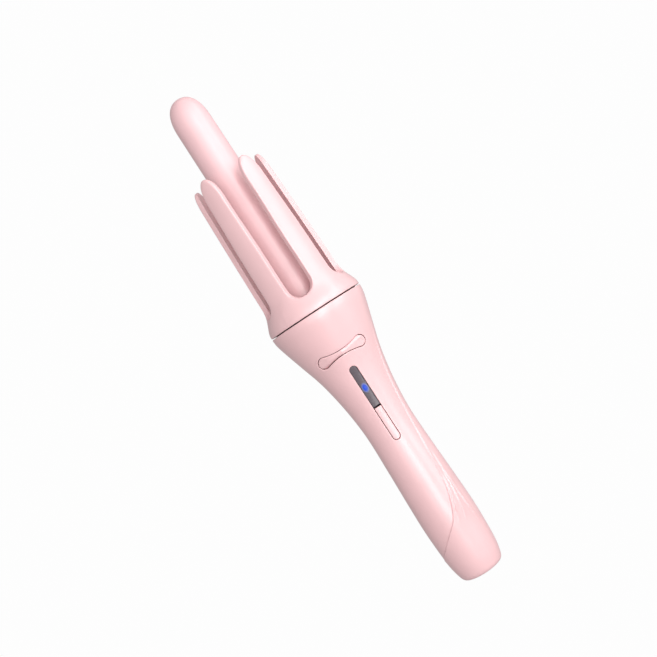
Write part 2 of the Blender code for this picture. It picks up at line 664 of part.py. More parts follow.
def boards(parent):
    block("main_board", (-BOARD_HALF, BOARD_HALF), BOARD_S, BOARD_Z, "board_green", parent)
    base = BOARD_Z[1] + FIT / 2
    tact_switch("power_switch", 0, BUTTON_STEM_S, base, "black_nylon", parent)
    block("indicator_led", (-1.4 * MM, 1.4 * MM), (LED_S - 1.4 * MM, LED_S + 1.4 * MM), (base, base + 1.2 * MM),
          "led_blue", parent)
    under = handle_radius(LED_S) - WINDOW_SUNK - WINDOW_THICK - 2 * FIT
    post("light_guide", (base + 1.5 * MM, under), 1.6 * MM, "clear_guide", parent, 0, LED_S, 12)
    chip = (base, base + 1.2 * MM)
    block("control_chip", (-3.5 * MM, 3.5 * MM), (125 * MM, 132 * MM), chip, "black_nylon", parent)


# Barrel and heater -------------------------------------------------------------------------------------------


def dome(depth, radius, steps):
    """(station, radius) points of a squarish dome, from its rim to its apex."""
    angles = [math.pi / 2 * n / steps for n in range(steps + 1)]
    share = 2 / DOME_POWER
    rim_s = TIP_S - DOME
    side = [(rim_s + depth * math.sin(a) ** share, radius * math.cos(a) ** share) for a in angles[:-1]]
    return side + [(rim_s + depth, 0.0)]


def barrel(parent):
    outer = [(BARREL_FOOT_S, BARREL_R[0])] + dome(DOME, BARREL_R[1], DOME_STEPS)
    inner = dome(DOME - BARREL_WALL, BARREL_R[1] - BARREL_WALL, DOME_STEPS - 3)[::-1]
    return turned("barrel", outer + inner + [(BARREL_FOOT_S, BARREL_R[0] - BARREL_WALL)], "pink_barrel", parent)


def barrel_mount(parent):
    flange_top = BARREL_FOOT_S - FIT
    section = [
        (DECK_S[1] + FIT, WIRE_BORE_R), (DECK_S[1] + FIT, MOUNT_R), (WEB_S[1] + FIT, MOUNT_R),
        (WEB_S[1] + FIT, MOUNT_FLANGE_R), (flange_top, MOUNT_FLANGE_R), (flange_top, SPIGOT_R),
        (SPIGOT_TOP_S, SPIGOT_R), (SPIGOT_TOP_S, WIRE_BORE_R),
    ]
    mount = turned("barrel_mount", section, "heat_resin", parent)
    for n, azimuth in enumerate(MOUNT_SCREW_AZIMUTHS, 1):
        x, z = at_azimuth(MOUNT_SCREWS_AT, azimuth)
        cut(mount, rod(f"mount_bore_{n}", (190 * MM, 200.5 * MM), BORE_R, None, parent, x, z, 8))
        screw = rod(f"mount_screw_{n}", (187.7 * MM, DECK_S[0] - FIT / 2), 2.0 * MM, "steel", parent, x, z)
        add(screw, rod(f"mount_shank_{n}", (189 * MM, 200 * MM), SHANK_R, None, parent, x, z, 8))
    return mount


def heater(parent):
    plate_s = (226 * MM, 332 * MM)
    block("heater_plate", (-7 * MM, 7 * MM), plate_s, (-1.4 * MM, 1.4 * MM), "heater_ceramic", parent)
    flat = 1.7 * MM
    outer_r, wall = 10.9 * MM, 1.3 * MM
    for name, sign in (("heat_spreader_front", 1), ("heat_spreader_rear", -1)):
        def d_shape(radius, height):
            edge = math.degrees(math.asin(height / radius))
            return [(x, sign * z) for x, z in arc((0, 0), radius, edge, 180 - edge, 12)]

        piece = extruded(name, d_shape(outer_r, flat), SPREADER_S, "aluminium", parent)
        through = (SPREADER_S[0] - MM, SPREADER_S[1] + MM)
        cut(piece, extruded(f"hollow_{name}", d_shape(outer_r - wall, flat + wall), through, None, parent))
    rod("thermistor", (300 * MM, 309 * MM), 1.0 * MM, "clear_guide", parent, 0, 4.5 * MM, 8)
    rod("thermal_fuse", (262 * MM, 274 * MM), 1.6 * MM, "steel", parent, 0, -5.2 * MM, 10)


def heater_leads(parent):
    """Two insulated wires from the main board, through the deck and the mount, to the heater plate."""
    for name, side in (("heater_lead_left", -1), ("heater_lead_right", 1)):
        curve = bpy.data.curves.new(name, "CURVE")
        curve.dimensions = "3D"
        curve.bevel_depth = 0.7 * MM
        curve.bevel_resolution = 1
        curve.use_fill_caps = True
        spline = curve.splines.new("POLY")
        spline.points.add(len(LEAD_ROUTE) - 1)
        for point, (x, s, z) in zip(spline.points, LEAD_ROUTE, strict=True):
            point.co = (side * x * MM, s * MM, z * MM, 1)
        curve.materials.append(material(name, "wire_red"))
        wire = bpy.data.objects.new(name, curve)
        bpy.context.scene.collection.objects.link(wire)
        wire.parent = parent


# Drive -------------------------------------------------------------------------------------------------------


def gear_deck(parent):
    section = [(DECK_S[0], WIRE_BORE_R), (DECK_S[0], DECK_R), (DECK_S[1], DECK_R), (DECK_S[1], WIRE_BORE_R)]
    deck = turned("gear_deck", section, "white_nylon", parent)
    through = (DECK_S[0] - MM, DECK_S[1] + MM)
    cut(deck, rod("deck_shaft_hole", through, SHAFT_HOLE_R, None, parent, 0, -IDLER_OFFSET))
    for n, azimuth in enumerate(MOUNT_SCREW_AZIMUTHS, 1):
        x, z = at_azimuth(MOUNT_SCREWS_AT, azimuth)
        cut(deck, rod(f"deck_mount_hole_{n}", through, BORE_R, None, parent, x, z, 8))
    for n, azimuth in enumerate(POST_AZIMUTHS, 1):
        x, z = at_azimuth(POST_RADIUS_AT, azimuth)
        cut(deck, rod(f"deck_screw_hole_{n}", through, BORE_R, None, parent, x, z, 8))
        head_s = (DECK_S[1] + FIT / 2, DECK_S[1] + 1.5 * MM)
        screw = rod(f"deck_screw_{n}", head_s, 1.9 * MM, "steel", parent, x, z)
        add(screw, rod(f"deck_shank_{n}", (PLATE_S[1] - MM, DECK_S[1] + MM), SHANK_R, None, parent, x, z, 8))
    foot, head = DECK_S[1] + FIT, HUB_FOOT_S - FIT
    bore, rim = WASHER_R
    turned("thrust_washer", [(foot, bore), (foot, rim), (head, rim), (head, bore)], "steel", parent)


def motor_plate(parent):
    foot, head = PLATE_S
    section = [(foot, 0), (foot, PLATE_R), (head, PLATE_R), (head, 0)]
    plate = turned("motor_plate", section, "white_nylon", parent)
    through = (foot - MM, head + MM)
    for n, azimuth in enumerate(POST_AZIMUTHS, 1):
        x, z = at_azimuth(POST_RADIUS_AT, azimuth)
        add(plate, rod(f"plate_post_{n}", (foot + MM, DECK_S[0] - FIT), 2.8 * MM, None, parent, x, z))
        cut(plate, rod(f"plate_post_bore_{n}", (foot + 0.6 * MM, DECK_S[1]), BORE_R, None, parent, x, z, 8))
    cut(
        plate,
        rod("plate_wire_hole", through, 6.0 * MM, None, parent, 0, 7.5 * MM),
        rod("plate_shaft_hole", through, SHAFT_HOLE_R, None, parent, 0, -IDLER_OFFSET),
        rod("plate_motor_hole", through, 2.6 * MM, None, parent, 0, -MOTOR_OFFSET),
    )
    return plate


def motor(parent):
    z = -MOTOR_OFFSET
    bore_s = (GEARBOX_S[1] - 4 * MM, GEARBOX_S[1] + MM)
    bush_s = (MOTOR_CAN_S[0] - 1.2 * MM, MOTOR_CAN_S[0] + MM)
    gearbox = rod("motor_gearbox", GEARBOX_S, MOTOR_R, "brass", parent, z=z, sides=20)
    cut(gearbox, rod("gearbox_bore", bore_s, SHAFT_HOLE_R, None, parent, z=z))
    can = rod("motor_can", MOTOR_CAN_S, MOTOR_R, "steel", parent, z=z, sides=20)
    add(can, rod("motor_rear_bush", bush_s, 2.4 * MM, None, parent, z=z))


def gear(name, spec, tip, root, tooth_deg, along, bore, finish_name, axle):
    """An external gear with a round bore, centred on an axle's empty."""
    outline = gear_outline(spec["teeth"], spec["module"], tip, root, tooth_deg, -BACKLASH)
    offset = (0, -axle.location.y, 0)
    blank = extruded(name, outline, along, finish_name, axle, offset)
    hole = rod(f"{name}_bore", (along[0] - MM, along[1] + MM), bore, None, axle, sides=12)
    hole.location = offset
    return cut(blank, hole)


def shaft(name, along, axle, sides=12):
    made = rod(name, along, SHAFT_R, "steel", axle, sides=sides)
    made.location = (0, -axle.location.y, 0)
    return made


def gear_train(idler_axle, motor_axle):
    """Angles here run from +X towards +Z, so 270 points from the axis to the idler and on to the shell."""
    outward = 270.0
    half_wheel_tooth = 180.0 / WHEEL["teeth"]
    drive_r = DRIVE["teeth"] * DRIVE["module"] / 2
    wheel_r = WHEEL["teeth"] * WHEEL["module"] / 2
    pinion_r = MOTOR_PINION["teeth"] * MOTOR_PINION["module"] / 2
    bore = SHAFT_R + CLOSE_FIT
    gear("drive_pinion", DRIVE, drive_r + 0.9 * MM, drive_r - 1.1 * MM, outward, DRIVE_S, bore, "brass",
         idler_axle)
    gear("transfer_wheel", WHEEL, wheel_r + 0.55 * MM, wheel_r - 0.95 * MM, outward + half_wheel_tooth,
         WHEEL_S, bore, "white_nylon", idler_axle)
    gear("motor_pinion", MOTOR_PINION, pinion_r + 0.65 * MM, pinion_r - 0.85 * MM, outward, WHEEL_S, bore,
         "brass", motor_axle)
    shaft("idler_shaft", (PLATE_S[0] + 0.2 * MM, RING_S[1] - 0.5 * MM), idler_axle)
    shaft("motor_shaft", (GEARBOX_S[1] - 3.5 * MM, WHEEL_S[1]), motor_axle)


def ring_gear(parent):
    pitch_r = RING["teeth"] * RING["module"] / 2
    section = [(RING_S[0], 22 * MM), (RING_S[0], RING_OUTER_R), (RING_S[1], RING_OUTER_R), (RING_S[1], 22 * MM)]
    ring = turned("ring_gear", section, "black_nylon", parent)
    outer, inner = pitch_r + 1.15 * MM, pitch_r - 0.5 * MM
    spaces = gear_outline(RING["teeth"], RING["module"], outer, inner, 270.0, BACKLASH)
    through = (RING_S[0] - MM, RING_S[1] + MM)
    return cut(ring, extruded("ring_tooth_spaces", spaces, through, None, parent))


def claw_crown(parent):
    line = in_metres(CROWN_LINE)
    back = in_metres(CLAW_BACK_LINE)
    inside = [
        (WEB_S[1], HUB_R[0]), (HUB_FOOT_S, HUB_R[0]), (HUB_FOOT_S, HUB_R[1]), (WEB_S[0], HUB_R[1]),
        (WEB_S[0], SKIRT_BORE_R), (CROWN_FOOT_S, SKIRT_BORE_R),
    ]
    crown = turned("claw_crown", line + back + inside, "pink_crown", parent)
    half_pitch = 180.0 / CLAWS
    foot_deg = half_pitch - claw_half_angle(CLAW_FOOT_S)
    foot = [
        (CLAW_FOOT_S - SLOT_FOOT_ROUND * math.cos(math.radians(a)), foot_deg * math.sin(math.radians(a)))
        for a in (0, 18, 36, 54, 72, 90)
    ]
    rise = [CLAW_FOOT_S + (CLAW_TIP_S - CLAW_FOOT_S) * math.sin(math.radians(a)) for a in range(15, 91, 7)]
    side = foot + [(s, half_pitch - claw_half_angle(s)) for s in rise]
    side += [(CLAW_TIP_S, half_pitch + 1), (CLAW_TIP_S + 3 * MM, half_pitch + 1)]
    loop = side + [(s, -deg) for s, deg in reversed(side[1:])]
    for n in range(CLAWS):
        cut(crown, slot_cutter(f"claw_slot_{n + 1}", loop, n * 360.0 / CLAWS, parent))
    return crown


def slot_cutter(name, loop, azimuth_deg, parent):
    """A wedge whose sides are radial, following the slot's (station, half angle) loop."""
    bm = bmesh.new()
    rings = []
    for radius in (18 * MM, 42 * MM):
        places = [(*at_azimuth(radius, azimuth_deg + deg), s) for s, deg in loop]
        rings.append([bm.verts.new((x, s, z)) for x, z, s in places])
    near = bm.faces.new(rings[0])
    far = bm.faces.new(rings[1])
    edges = list(near.edges) + list(far.edges)
    bmesh.ops.bridge_loops(bm, edges=edges)
    bmesh.ops.triangulate(bm, faces=[near, far])
    return finish(name, bm, None, parent)


# Assembly ----------------------------------------------------------------------------------------------------


def build():
    for obj in list(bpy.data.objects):
        bpy.data.objects.remove(obj)
    tilt, height, shift = resting_pose()
    frame = empty("curler_frame")
    frame.rotation_euler = (tilt, 0, 0)
    frame.location = (0, shift, height)
    crown_axle = empty("crown_axle", frame)
    idler_axle = empty("idler_axle", frame, (0, WHEEL_S[0], -IDLER_OFFSET))
    motor_axle = empty("motor_axle", frame, (0, WHEEL_S[0], -MOTOR_OFFSET))
    rocker_pivot = empty("rocker_pivot", frame, (0, ROCKER_S, ROCKER_PIVOT_Z))
    button_slide = empty("button_slide", frame, (0, BUTTON_STEM_S, handle_radius(BUTTON_STEM_S)))

    front_shell(frame)
    rear_shell(frame)
    shell_screws(frame)
    butt_plug(frame)
    charging_socket(frame)
    rocker(frame, rocker_pivot)
    rocker_bracket(frame)
    switch_board(frame)
    window(frame)
    power_button(frame, button_slide)
    cradle(frame)
    cells(frame)
    boards(frame)
    barrel(frame)
    barrel_mount(frame)
    heater(frame)
    heater_leads(frame)
    gear_deck(frame)
    motor_plate(frame)
    motor(frame)
    gear_train(idler_axle, motor_axle)
    ring_gear(crown_axle)
    claw_crown(crown_axle)
    bpy.context.view_layer.update()


build()
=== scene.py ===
"""Looks of the cordless automatic hair curler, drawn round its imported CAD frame.

Shapes are drawn in the curler's own design frame, in millimetres: +Y runs along the axis from the butt to the
barrel's tip, +Z leaves the button side and +X is the right-hand side. The crown's joint says where that frame
lies in the world. A station is a distance along the axis from the butt face, and an azimuth is an angle about
the axis, from +Z towards +X.
"""

import json
import math

import bmesh
import bpy
import numpy as np
from mathutils import Matrix, Vector
from mathutils.geometry import delaunay_2d_cdt


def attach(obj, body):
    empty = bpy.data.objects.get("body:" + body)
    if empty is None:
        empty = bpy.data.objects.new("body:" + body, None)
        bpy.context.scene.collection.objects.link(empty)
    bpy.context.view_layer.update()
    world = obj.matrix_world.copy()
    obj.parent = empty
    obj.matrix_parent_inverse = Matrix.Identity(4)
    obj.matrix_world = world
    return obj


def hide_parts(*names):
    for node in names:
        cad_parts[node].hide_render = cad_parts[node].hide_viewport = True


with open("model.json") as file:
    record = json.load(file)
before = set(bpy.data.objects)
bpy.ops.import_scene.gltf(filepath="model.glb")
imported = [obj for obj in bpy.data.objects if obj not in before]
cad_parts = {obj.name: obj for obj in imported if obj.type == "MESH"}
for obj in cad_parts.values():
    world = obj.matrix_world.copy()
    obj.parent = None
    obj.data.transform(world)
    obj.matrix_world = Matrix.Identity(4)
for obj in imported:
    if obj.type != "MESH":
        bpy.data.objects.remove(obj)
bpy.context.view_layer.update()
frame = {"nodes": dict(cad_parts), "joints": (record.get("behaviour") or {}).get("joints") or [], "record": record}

MM = 0.001
ROUND = math.cos(math.pi / 34)  # the CAD's turned shapes have 34 sides, and these stay within their flats

# Handle shell: the same smooth line as the CAD's.
HANDLE_LINE = [
    (6.3, 15.25), (10.0, 16.2), (14.5, 17.0), (24.0, 17.8), (42.0, 18.4), (62.0, 17.95), (86.0, 17.1),
    (111.0, 16.5), (127.0, 17.5), (142.0, 19.5), (157.0, 22.5), (172.0, 27.0), (184.0, 30.6), (192.0, 32.7),
    (196.5, 33.1),
]
BUTT_S = 3.0
BUTT_ROUND_S = 6.3  # the handle's line rounds off below this station
BUTT_CORNER_R = 14.3
BUTT_FACE_R = 12.2
BUTT_HOLE_R = 10.6
SEAM_S = 196.5
WALL = 2.2
SHELL_GAP_DEG = 0.45
RIM_FILLET = 0.5
PARTING_FILLET = 0.16
OPENING_FILLET = 0.35
WELL_FILLET = 0.25

# Controls on the button side.
ROCKER_S = 167.0
ROCKER_HALF = 17.0
ROCKER_END_R = 3.9
ROCKER_BLEND_DEG = 17.0
KEY_GAP = 0.35
KEY_FILLET = 0.45
ROCKER_DEPTH = 2.4
LOBE_DISH = 0.2  # each lobe is dished this deep for a fingertip
LOBE_DISH_R = 3.3
WAIST_TWIST = 0.62  # slope of the rocker's upper right and lower left faces
WAIST_LEAN = 0.14  # how steeply the ridge between those faces climbs to the right
SLOT_HALF = 2.75
SLOT_S = (102.6, 156.4)
WINDOW_FOOT_S = 126.6
WINDOW_GAP = 0.2
WINDOW_FOOT_GAP = 0.8
WINDOW_SUNK = 0.15
WINDOW_FILLET = 0.3
BUTTON_FILLET = 0.4
BUTTON_CROWN = 0.12
STRIP_DEPTH = 3.0
LED_S = 140.8

# Shell screws in the rear shell: (side offset, station, radius of the head's well).
SHELL_SCREWS = [(18.0, 178.0, 2.2), (-18.0, 178.0, 2.2), (8.8, 12.2, 1.9), (-8.8, 12.2, 1.9)]
WELL_DEPTH = 4.6

# Crown: a collar that carries five tapering claws.
CLAWS = 5
HALF_PITCH = math.pi / CLAWS
CROWN_LINE = [
    (197.3, 33.0), (199.5, 32.95), (202.0, 32.2), (205.0, 30.9), (208.0, 29.6), (210.5, 28.8), (214.0, 28.2),
    (225.0, 27.95), (256.0, 27.3), (290.0, 26.45), (298.0, 26.0), (302.3, 25.5),
]
CLAW_BACK_LINE = [
    (204.0, 21.8), (206.5, 23.9), (213.0, 24.8), (256.0, 24.05), (298.0, 22.9), (302.3, 22.7),
]
CROWN_FOOT_S = 197.3
CROWN_BACK_S = 204.0
CROWN_INSIDE = [  # (station, radius) from the back of the claws, round the hub and the ring gear's bore
    (204.0, 18.0), (204.0, 13.15), (193.6, 13.15), (193.6, 14.6), (200.0, 14.6), (200.0, 30.0), (197.3, 30.0),
]
CLAW_HALF_WIDTH = [(217.3, 8.0), (225.0, 7.9), (250.0, 7.65), (275.0, 6.85), (288.0, 6.65), (302.3, 6.55)]
CLAW_ROOT_S = 217.3
SLOT_FOOT_S = 208.3
CLAW_ROUND_S = 286.0
CLAW_ROUND_POWER = 2.4
CLAW_TIP_S = 302.2
CLAW_FILLET = 0.85
CLAW_TIP_FILLET = 2.2
CLAW_BACK_FILLET = 0.5
CROWN_RIM_FILLET = 0.4
CROWN_FACE_ROWS = 9

# Each column of points on a claw starts at the slot's edge. Its place there gives the station and the azimuth in
# degrees at which it ends: on the collar's foot, or on the claw's middle line.
COLUMN_PLACES = (0.0, 0.5, 1.0, 1.15, 1.4, 2.0, 3.0)
COLUMN_END_STATIONS = (CROWN_FOOT_S, CROWN_FOOT_S, CROWN_FOOT_S, CROWN_FOOT_S, 214.0, 281.0, 299.0)
COLUMN_END_AZIMUTHS = (0, 14, 26, 36, 36, 36, 36)
LAST_RING_PLACE = 1.15  # up to this place a column goes on round the inside of the collar

# Barrel.
BARREL_FOOT_S = 206.6
BARREL_R = (12.9, 12.3)  # at the foot and where the dome starts
BARREL_WALL = 1.0
BARREL_EDGE = 0.4
DOME = 20.3
DOME_POWER = 2.4
TIP_S = 356.9

# Butt plug, with the mouth of the charging socket.
PLUG_R = 10.3
PLUG_FILLET = 0.35
PLUG_DISH = 0.5
PLUG_DISH_R = 9.2
MOUTH_HALF = (4.8, 1.95)
MOUTH_FILLET = 0.3

# Creases of the handle's flowing relief: (station, azimuth) knots of each, the height of its step, the length over
# which that height runs out on its right, the lengths of its fading ends, and the width of its step at its first
# and last knots.
CREASES = [
    {
        "knots": [
            (12, -120), (16, -102), (21.5, -80), (27.5, -50), (32, -33), (37, -15.5), (41.7, 0), (46.5, 9.2),
            (52.2, 17.2), (57.9, 23.9), (63.6, 29.5), (70.3, 33.7), (79, 37.6), (89.6, 43), (101, 48.8), (113, 54),
            (125, 57.3), (138, 59.5), (149, 62), (158, 64.8), (180, 70),
        ],
        "height": 0.75, "run_out": 7.0, "fade": (28.0, 30.0), "softness": (0.45, 1.3),
    },
    {
        "knots": [(38.2, 7.7), (44.5, 15.4), (51, 22), (57.3, 27.7), (64.5, 33.2), (71, 37)],
        "height": 0.8, "run_out": 2.4, "fade": (10.0, 8.0), "softness": (0.9, 1.1),
    },
    {
        "knots": [(36.5, 23.7), (43.2, 28.6), (50, 32.5), (57.6, 36.6), (65.3, 40), (73, 42.6)],
        "height": 0.9, "run_out": 2.8, "fade": (10.0, 10.0), "softness": (0.9, 1.1),
    },
    {
        "knots": [
            (29.2, 55.3), (35.4, 50.2), (44.5, 46.3), (52.4, 44.6), (62.2, 44), (72, 44.7), (81.6, 47.3), (90, 50.4),
        ],
        "height": 0.9, "run_out": 3.2, "fade": (10.0, 14.0), "softness": (0.9, 1.2),
    },
]

# The view: the curler lies across the picture, seen square to its axis.
LEAN_DEG = 33.1  # its axis leans this far to the left of upright
VIEW_SHIFT = (-1.9, 4.75)  # from the middle station to the view's centre, right and up
VIEW_DISTANCE = 700.0
VIEW_SPAN = 416.0
SENSOR = 36.0
MIDDLE_S = 178.65

# Soft panels: name, azimuth and swing towards the tip in degrees, roll that leans the panel's tip end to the right,
# distance, width and length in metres, power in watts, and colour.
SOFTBOXES = [
    ("front_softbox", -5, 10, 0, 1.2, 1.0, 1.3, 5.0, (1.0, 0.99, 0.985)),
    ("key_softbox", 20, 7, 30, 1.0, 0.4, 1.3, 6.8, (1.0, 1.0, 0.98)),
    ("side_softbox", 62, 14, 30, 1.0, 0.45, 1.3, 5.4, (1.0, 1.0, 0.985)),
    ("rim_softbox", 122, 15, 0, 1.0, 0.5, 1.4, 0.8, (1.0, 0.99, 0.985)),
]
PALE = (0.985, 0.985, 0.985)
FILL_COLOUR = (1.0, 0.97, 0.975)
FILL_STRENGTH = 0.5
FLOOR_HALF = 6.0

MERGE = 2e-6  # corners closer than this, in metres, are one
CHUNK = 400  # points handled at a time


def rest_pose():
    """Matrix from the design frame in millimetres to the world in metres, read off the crown's joint."""
    joint = next(j for j in frame["joints"] if j["name"] == "crown_spin")
    axis = Vector(joint["axis"])
    tilt = math.atan2(axis.z, axis.y)
    joint_station = 200 * MM
    return (
        Matrix.Translation(Vector(joint["pos_m"]))
        @ Matrix.Rotation(tilt, 4, "X")
        @ Matrix.Translation((0, -joint_station, 0))
        @ Matrix.Scale(MM, 4)
    )


POSE = rest_pose()
TILT = POSE.to_euler().x


# Curves ------------------------------------------------------------------------------------------------------


def smooth_line(knots, at):
    """Heights at stations, on the smooth curve through the knots."""
    s, h = np.array(knots, float).T
    slope = np.gradient(h, s)
    slope[1:-1] = (h[2:] - h[:-2]) / (s[2:] - s[:-2])
    at = np.clip(at, s[0], s[-1])
    i = np.clip(np.searchsorted(s, at, side="right") - 1, 0, len(s) - 2)
    span = s[i + 1] - s[i]
    t = (at - s[i]) / span
    rise = (2 * t**3 - 3 * t**2 + 1) * h[i] + (3 * t**2 - 2 * t**3) * h[i + 1]
    return rise + span * ((t**3 - 2 * t**2 + t) * slope[i] + (t**3 - t**2) * slope[i + 1])


def smooth_step(t):
    t = np.clip(t, 0.0, 1.0)
    return t * t * (3 - 2 * t)


def arc(centre, radius, start_deg, end_deg, steps):
    angles = np.radians(np.linspace(start_deg, end_deg, steps + 1))
    return np.column_stack((centre[0] + radius * np.cos(angles), centre[1] + radius * np.sin(angles)))


def run_along(line):
    """Length of an open line up to each of its points."""
    return np.concatenate(([0.0], np.cumsum(np.hypot(*np.diff(line, axis=0).T))))


def resampled(loop, spacing):
    """The same closed loop with no step longer than the spacing."""
    made = []
    for a, b in zip(loop, np.roll(loop, -1, axis=0)):
        steps = max(1, math.ceil(np.hypot(*(b - a)) / spacing))
        made.extend(a + (b - a) * n / steps for n in range(steps))
    return np.array(made)


def curve_through(knots, spacing):
    """A smooth open line through (a, b) knots."""
    knots = np.asarray(knots, float)
    run = run_along(knots)
    at = np.linspace(0, run[-1], math.ceil(run[-1] / spacing) + 1)
    return np.column_stack([smooth_line(np.column_stack((run, knots[:, k])), at) for k in (0, 1)])


def bow_tie(gap):
    """(x, station) outline of the rocker: two round lobes joined by hollow edges, drawn in by a gap."""
    end_r = ROCKER_END_R - gap
    lobe_x = ROCKER_HALF - ROCKER_END_R
    blend = math.radians(90 + ROCKER_BLEND_DEG)
    join_x, join_s = lobe_x + end_r * math.cos(blend), end_r * math.sin(blend)
    hollow = math.tan(math.radians(ROCKER_BLEND_DEG)) / (2 * join_x)
    right = arc((lobe_x, 0), end_r, -90 - ROCKER_BLEND_DEG, 90 + ROCKER_BLEND_DEG, 30)
    across = np.linspace(join_x, -join_x, 42)[1:-1]
    top = np.column_stack((across, join_s + hollow * (across**2 - join_x**2)))
    half = np.vstack((right, top))
    return np.vstack((half, -half)) + (0, ROCKER_S)


def slot_outline(start, end, half, round_foot, round_head, corner=0.25):
    """(x, station) outline of a strip along the axis; an end that isn't round has small rounded corners."""
    if round_foot:
        foot = arc((0, start + half), half, 180, 360, 20)
    else:
        left_corner = arc((corner - half, start + corner), corner, 180, 270, 5)
        foot = np.vstack((left_corner, arc((half - corner, start + corner), corner, 270, 360, 5)))
    if round_head:
        head = arc((0, end - half), half, 0, 180, 20)
    else:
        right_corner = arc((half - corner, end - corner), corner, 0, 90, 5)
        head = np.vstack((right_corner, arc((corner - half, end - corner), corner, 90, 180, 5)))
    return np.vstack((foot, head))


def nearest_on(points, starts, ends):
    """For each point: its distance to the nearest segment, that segment's number, and the share along it."""
    distance = np.empty(len(points))
    index = np.empty(len(points), int)
    along = np.empty(len(points))
    chord = ends - starts
    squared = np.maximum((chord**2).sum(1), 1e-12)
    for first in range(0, len(points), CHUNK):
        part = points[first:first + CHUNK, None, :] - starts[None]
        t = np.clip((part * chord).sum(2) / squared, 0, 1)
        gap = np.hypot(*(part - t[..., None] * chord).transpose(2, 0, 1))
        best = gap.argmin(1)
        rows = np.arange(len(best))
        distance[first:first + CHUNK] = gap[rows, best]
        index[first:first + CHUNK] = best
        along[first:first + CHUNK] = t[rows, best]
    return distance, index, along


# Handle surface ----------------------------------------------------------------------------------------------


def handle_profile(v):
    """(station, radius) of the handle's outer line. v is the station down to the rounded butt edge, runs round
    that edge from BUTT_ROUND_S to 0, and across the butt face from 0 to -1."""
    v = np.asarray(v, float)
    t = np.clip((BUTT_ROUND_S - v) / BUTT_ROUND_S, 0, 1)
    start_r = smooth_line(HANDLE_LINE, BUTT_ROUND_S)
    edge_r = (1 - t) ** 2 * start_r + 2 * t * (1 - t) * BUTT_CORNER_R + t**2 * BUTT_FACE_R
    on_edge = v < BUTT_ROUND_S
    s = np.where(on_edge, BUTT_S + (1 - t) ** 2 * (BUTT_ROUND_S - BUTT_S), v)
    r = np.where(on_edge, edge_r, smooth_line(HANDLE_LINE, v)) * ROUND
    return s, r + np.clip(-v, 0, None) * (BUTT_HOLE_R - BUTT_FACE_R * ROUND)


def on_handle(azimuth, v, depth):
    """Points at a depth below the handle's outer face."""
    step = 0.05
    s, r = handle_profile(v)
    s_after, r_after = handle_profile(v + step)
    s_before, r_before = handle_profile(v - step)
    ds, dr = s_after - s_before, r_after - r_before
    length = np.hypot(ds, dr)
    s = s + depth * dr / length
    r = r - depth * ds / length
    return np.column_stack((r * np.sin(azimuth), s, r * np.cos(azimuth)))


def unrolled(azimuth, v):
    """Azimuths and v, as points of the unrolled handle."""
    return np.column_stack((azimuth * handle_profile(v)[1], v))


def rolled(points):
    """Azimuths of points of the unrolled handle."""
    return points[:, 0] / handle_profile(points[:, 1])[1]


def unrolled_outline(outline, middle=0.0):
    """An (x, station) outline seen square to the side at the middle azimuth, on the unrolled handle."""
    x, s = outline.T
    return unrolled(middle + np.arcsin(x / handle_profile(s)[1]), s)


def crease_lines():
    """Each crease with its line on the unrolled handle."""
    lines = []
    for crease in CREASES:
        s, azimuth = np.array(crease["knots"], float).T
        lines.append((crease, curve_through(unrolled(np.radians(azimuth), s), 0.7)))
    return lines


CREASE_LINES = crease_lines()


def relief(azimuth, v):
    """Height of the handle's creases over its smooth line."""
    points = unrolled((azimuth + math.pi) % (2 * math.pi) - math.pi, v)
    height = np.zeros(len(points))
    for crease, line in CREASE_LINES:
        run = run_along(line)
        distance, index, along = nearest_on(points, line[:-1], line[1:])
        chord = line[index + 1] - line[index]
        offset = points - line[index]
        right = distance * np.sign(chord[:, 1] * offset[:, 0] - chord[:, 0] * offset[:, 1])
        place = run[index] + along * (run[index + 1] - run[index])
        fade_in, fade_out = crease["fade"]
        strength = smooth_step(place / fade_in) * smooth_step((run[-1] - place) / fade_out)
        narrow, wide = crease["softness"]
        step = smooth_step(right / (narrow + (wide - narrow) * place / run[-1]) + 0.5)
        height += crease["height"] * strength * step * np.exp(-np.maximum(right, 0) / crease["run_out"])
    return height


# Meshes ------------------------------------------------------------------------------------------------------


def mesh_object(name, points, faces, sharp_deg=35.0, pointed=False):
    """A smooth-shaded object from design-frame points, in place in the world. In a pointed one, quads may come to
    a point."""
    bm = bmesh.new()
    verts = [bm.verts.new(POSE @ Vector(p)) for p in points]
    for face in faces:
        bm.faces.new([verts[n] for n in face])
    bmesh.ops.remove_doubles(bm, verts=bm.verts, dist=MERGE)
    if pointed:
        bmesh.ops.dissolve_degenerate(bm, dist=MERGE, edges=bm.edges)
    bmesh.ops.recalc_face_normals(bm, faces=bm.faces)
    mesh = bpy.data.meshes.new(name)
    bm.to_mesh(mesh)
    bm.free()
    mesh.shade_smooth()
    mesh.set_sharp_from_angle(angle=math.radians(sharp_deg))
    obj = bpy.data.objects.new(name, mesh)
    bpy.context.scene.collection.objects.link(obj)
    return obj


def fillet_drop(distance, width, depth):
    """How far a rounded edge falls below its face, at a distance from the edge."""
    reach = np.clip(1 - distance / width, 0, 1)
    return depth * (1 - np.sqrt(np.maximum(1 - reach**2, 0)))


FILLET_ROWS = (0.04, 0.14, 0.32, 0.6, 1.0)  # shares of a fillet's width at which rows of points run


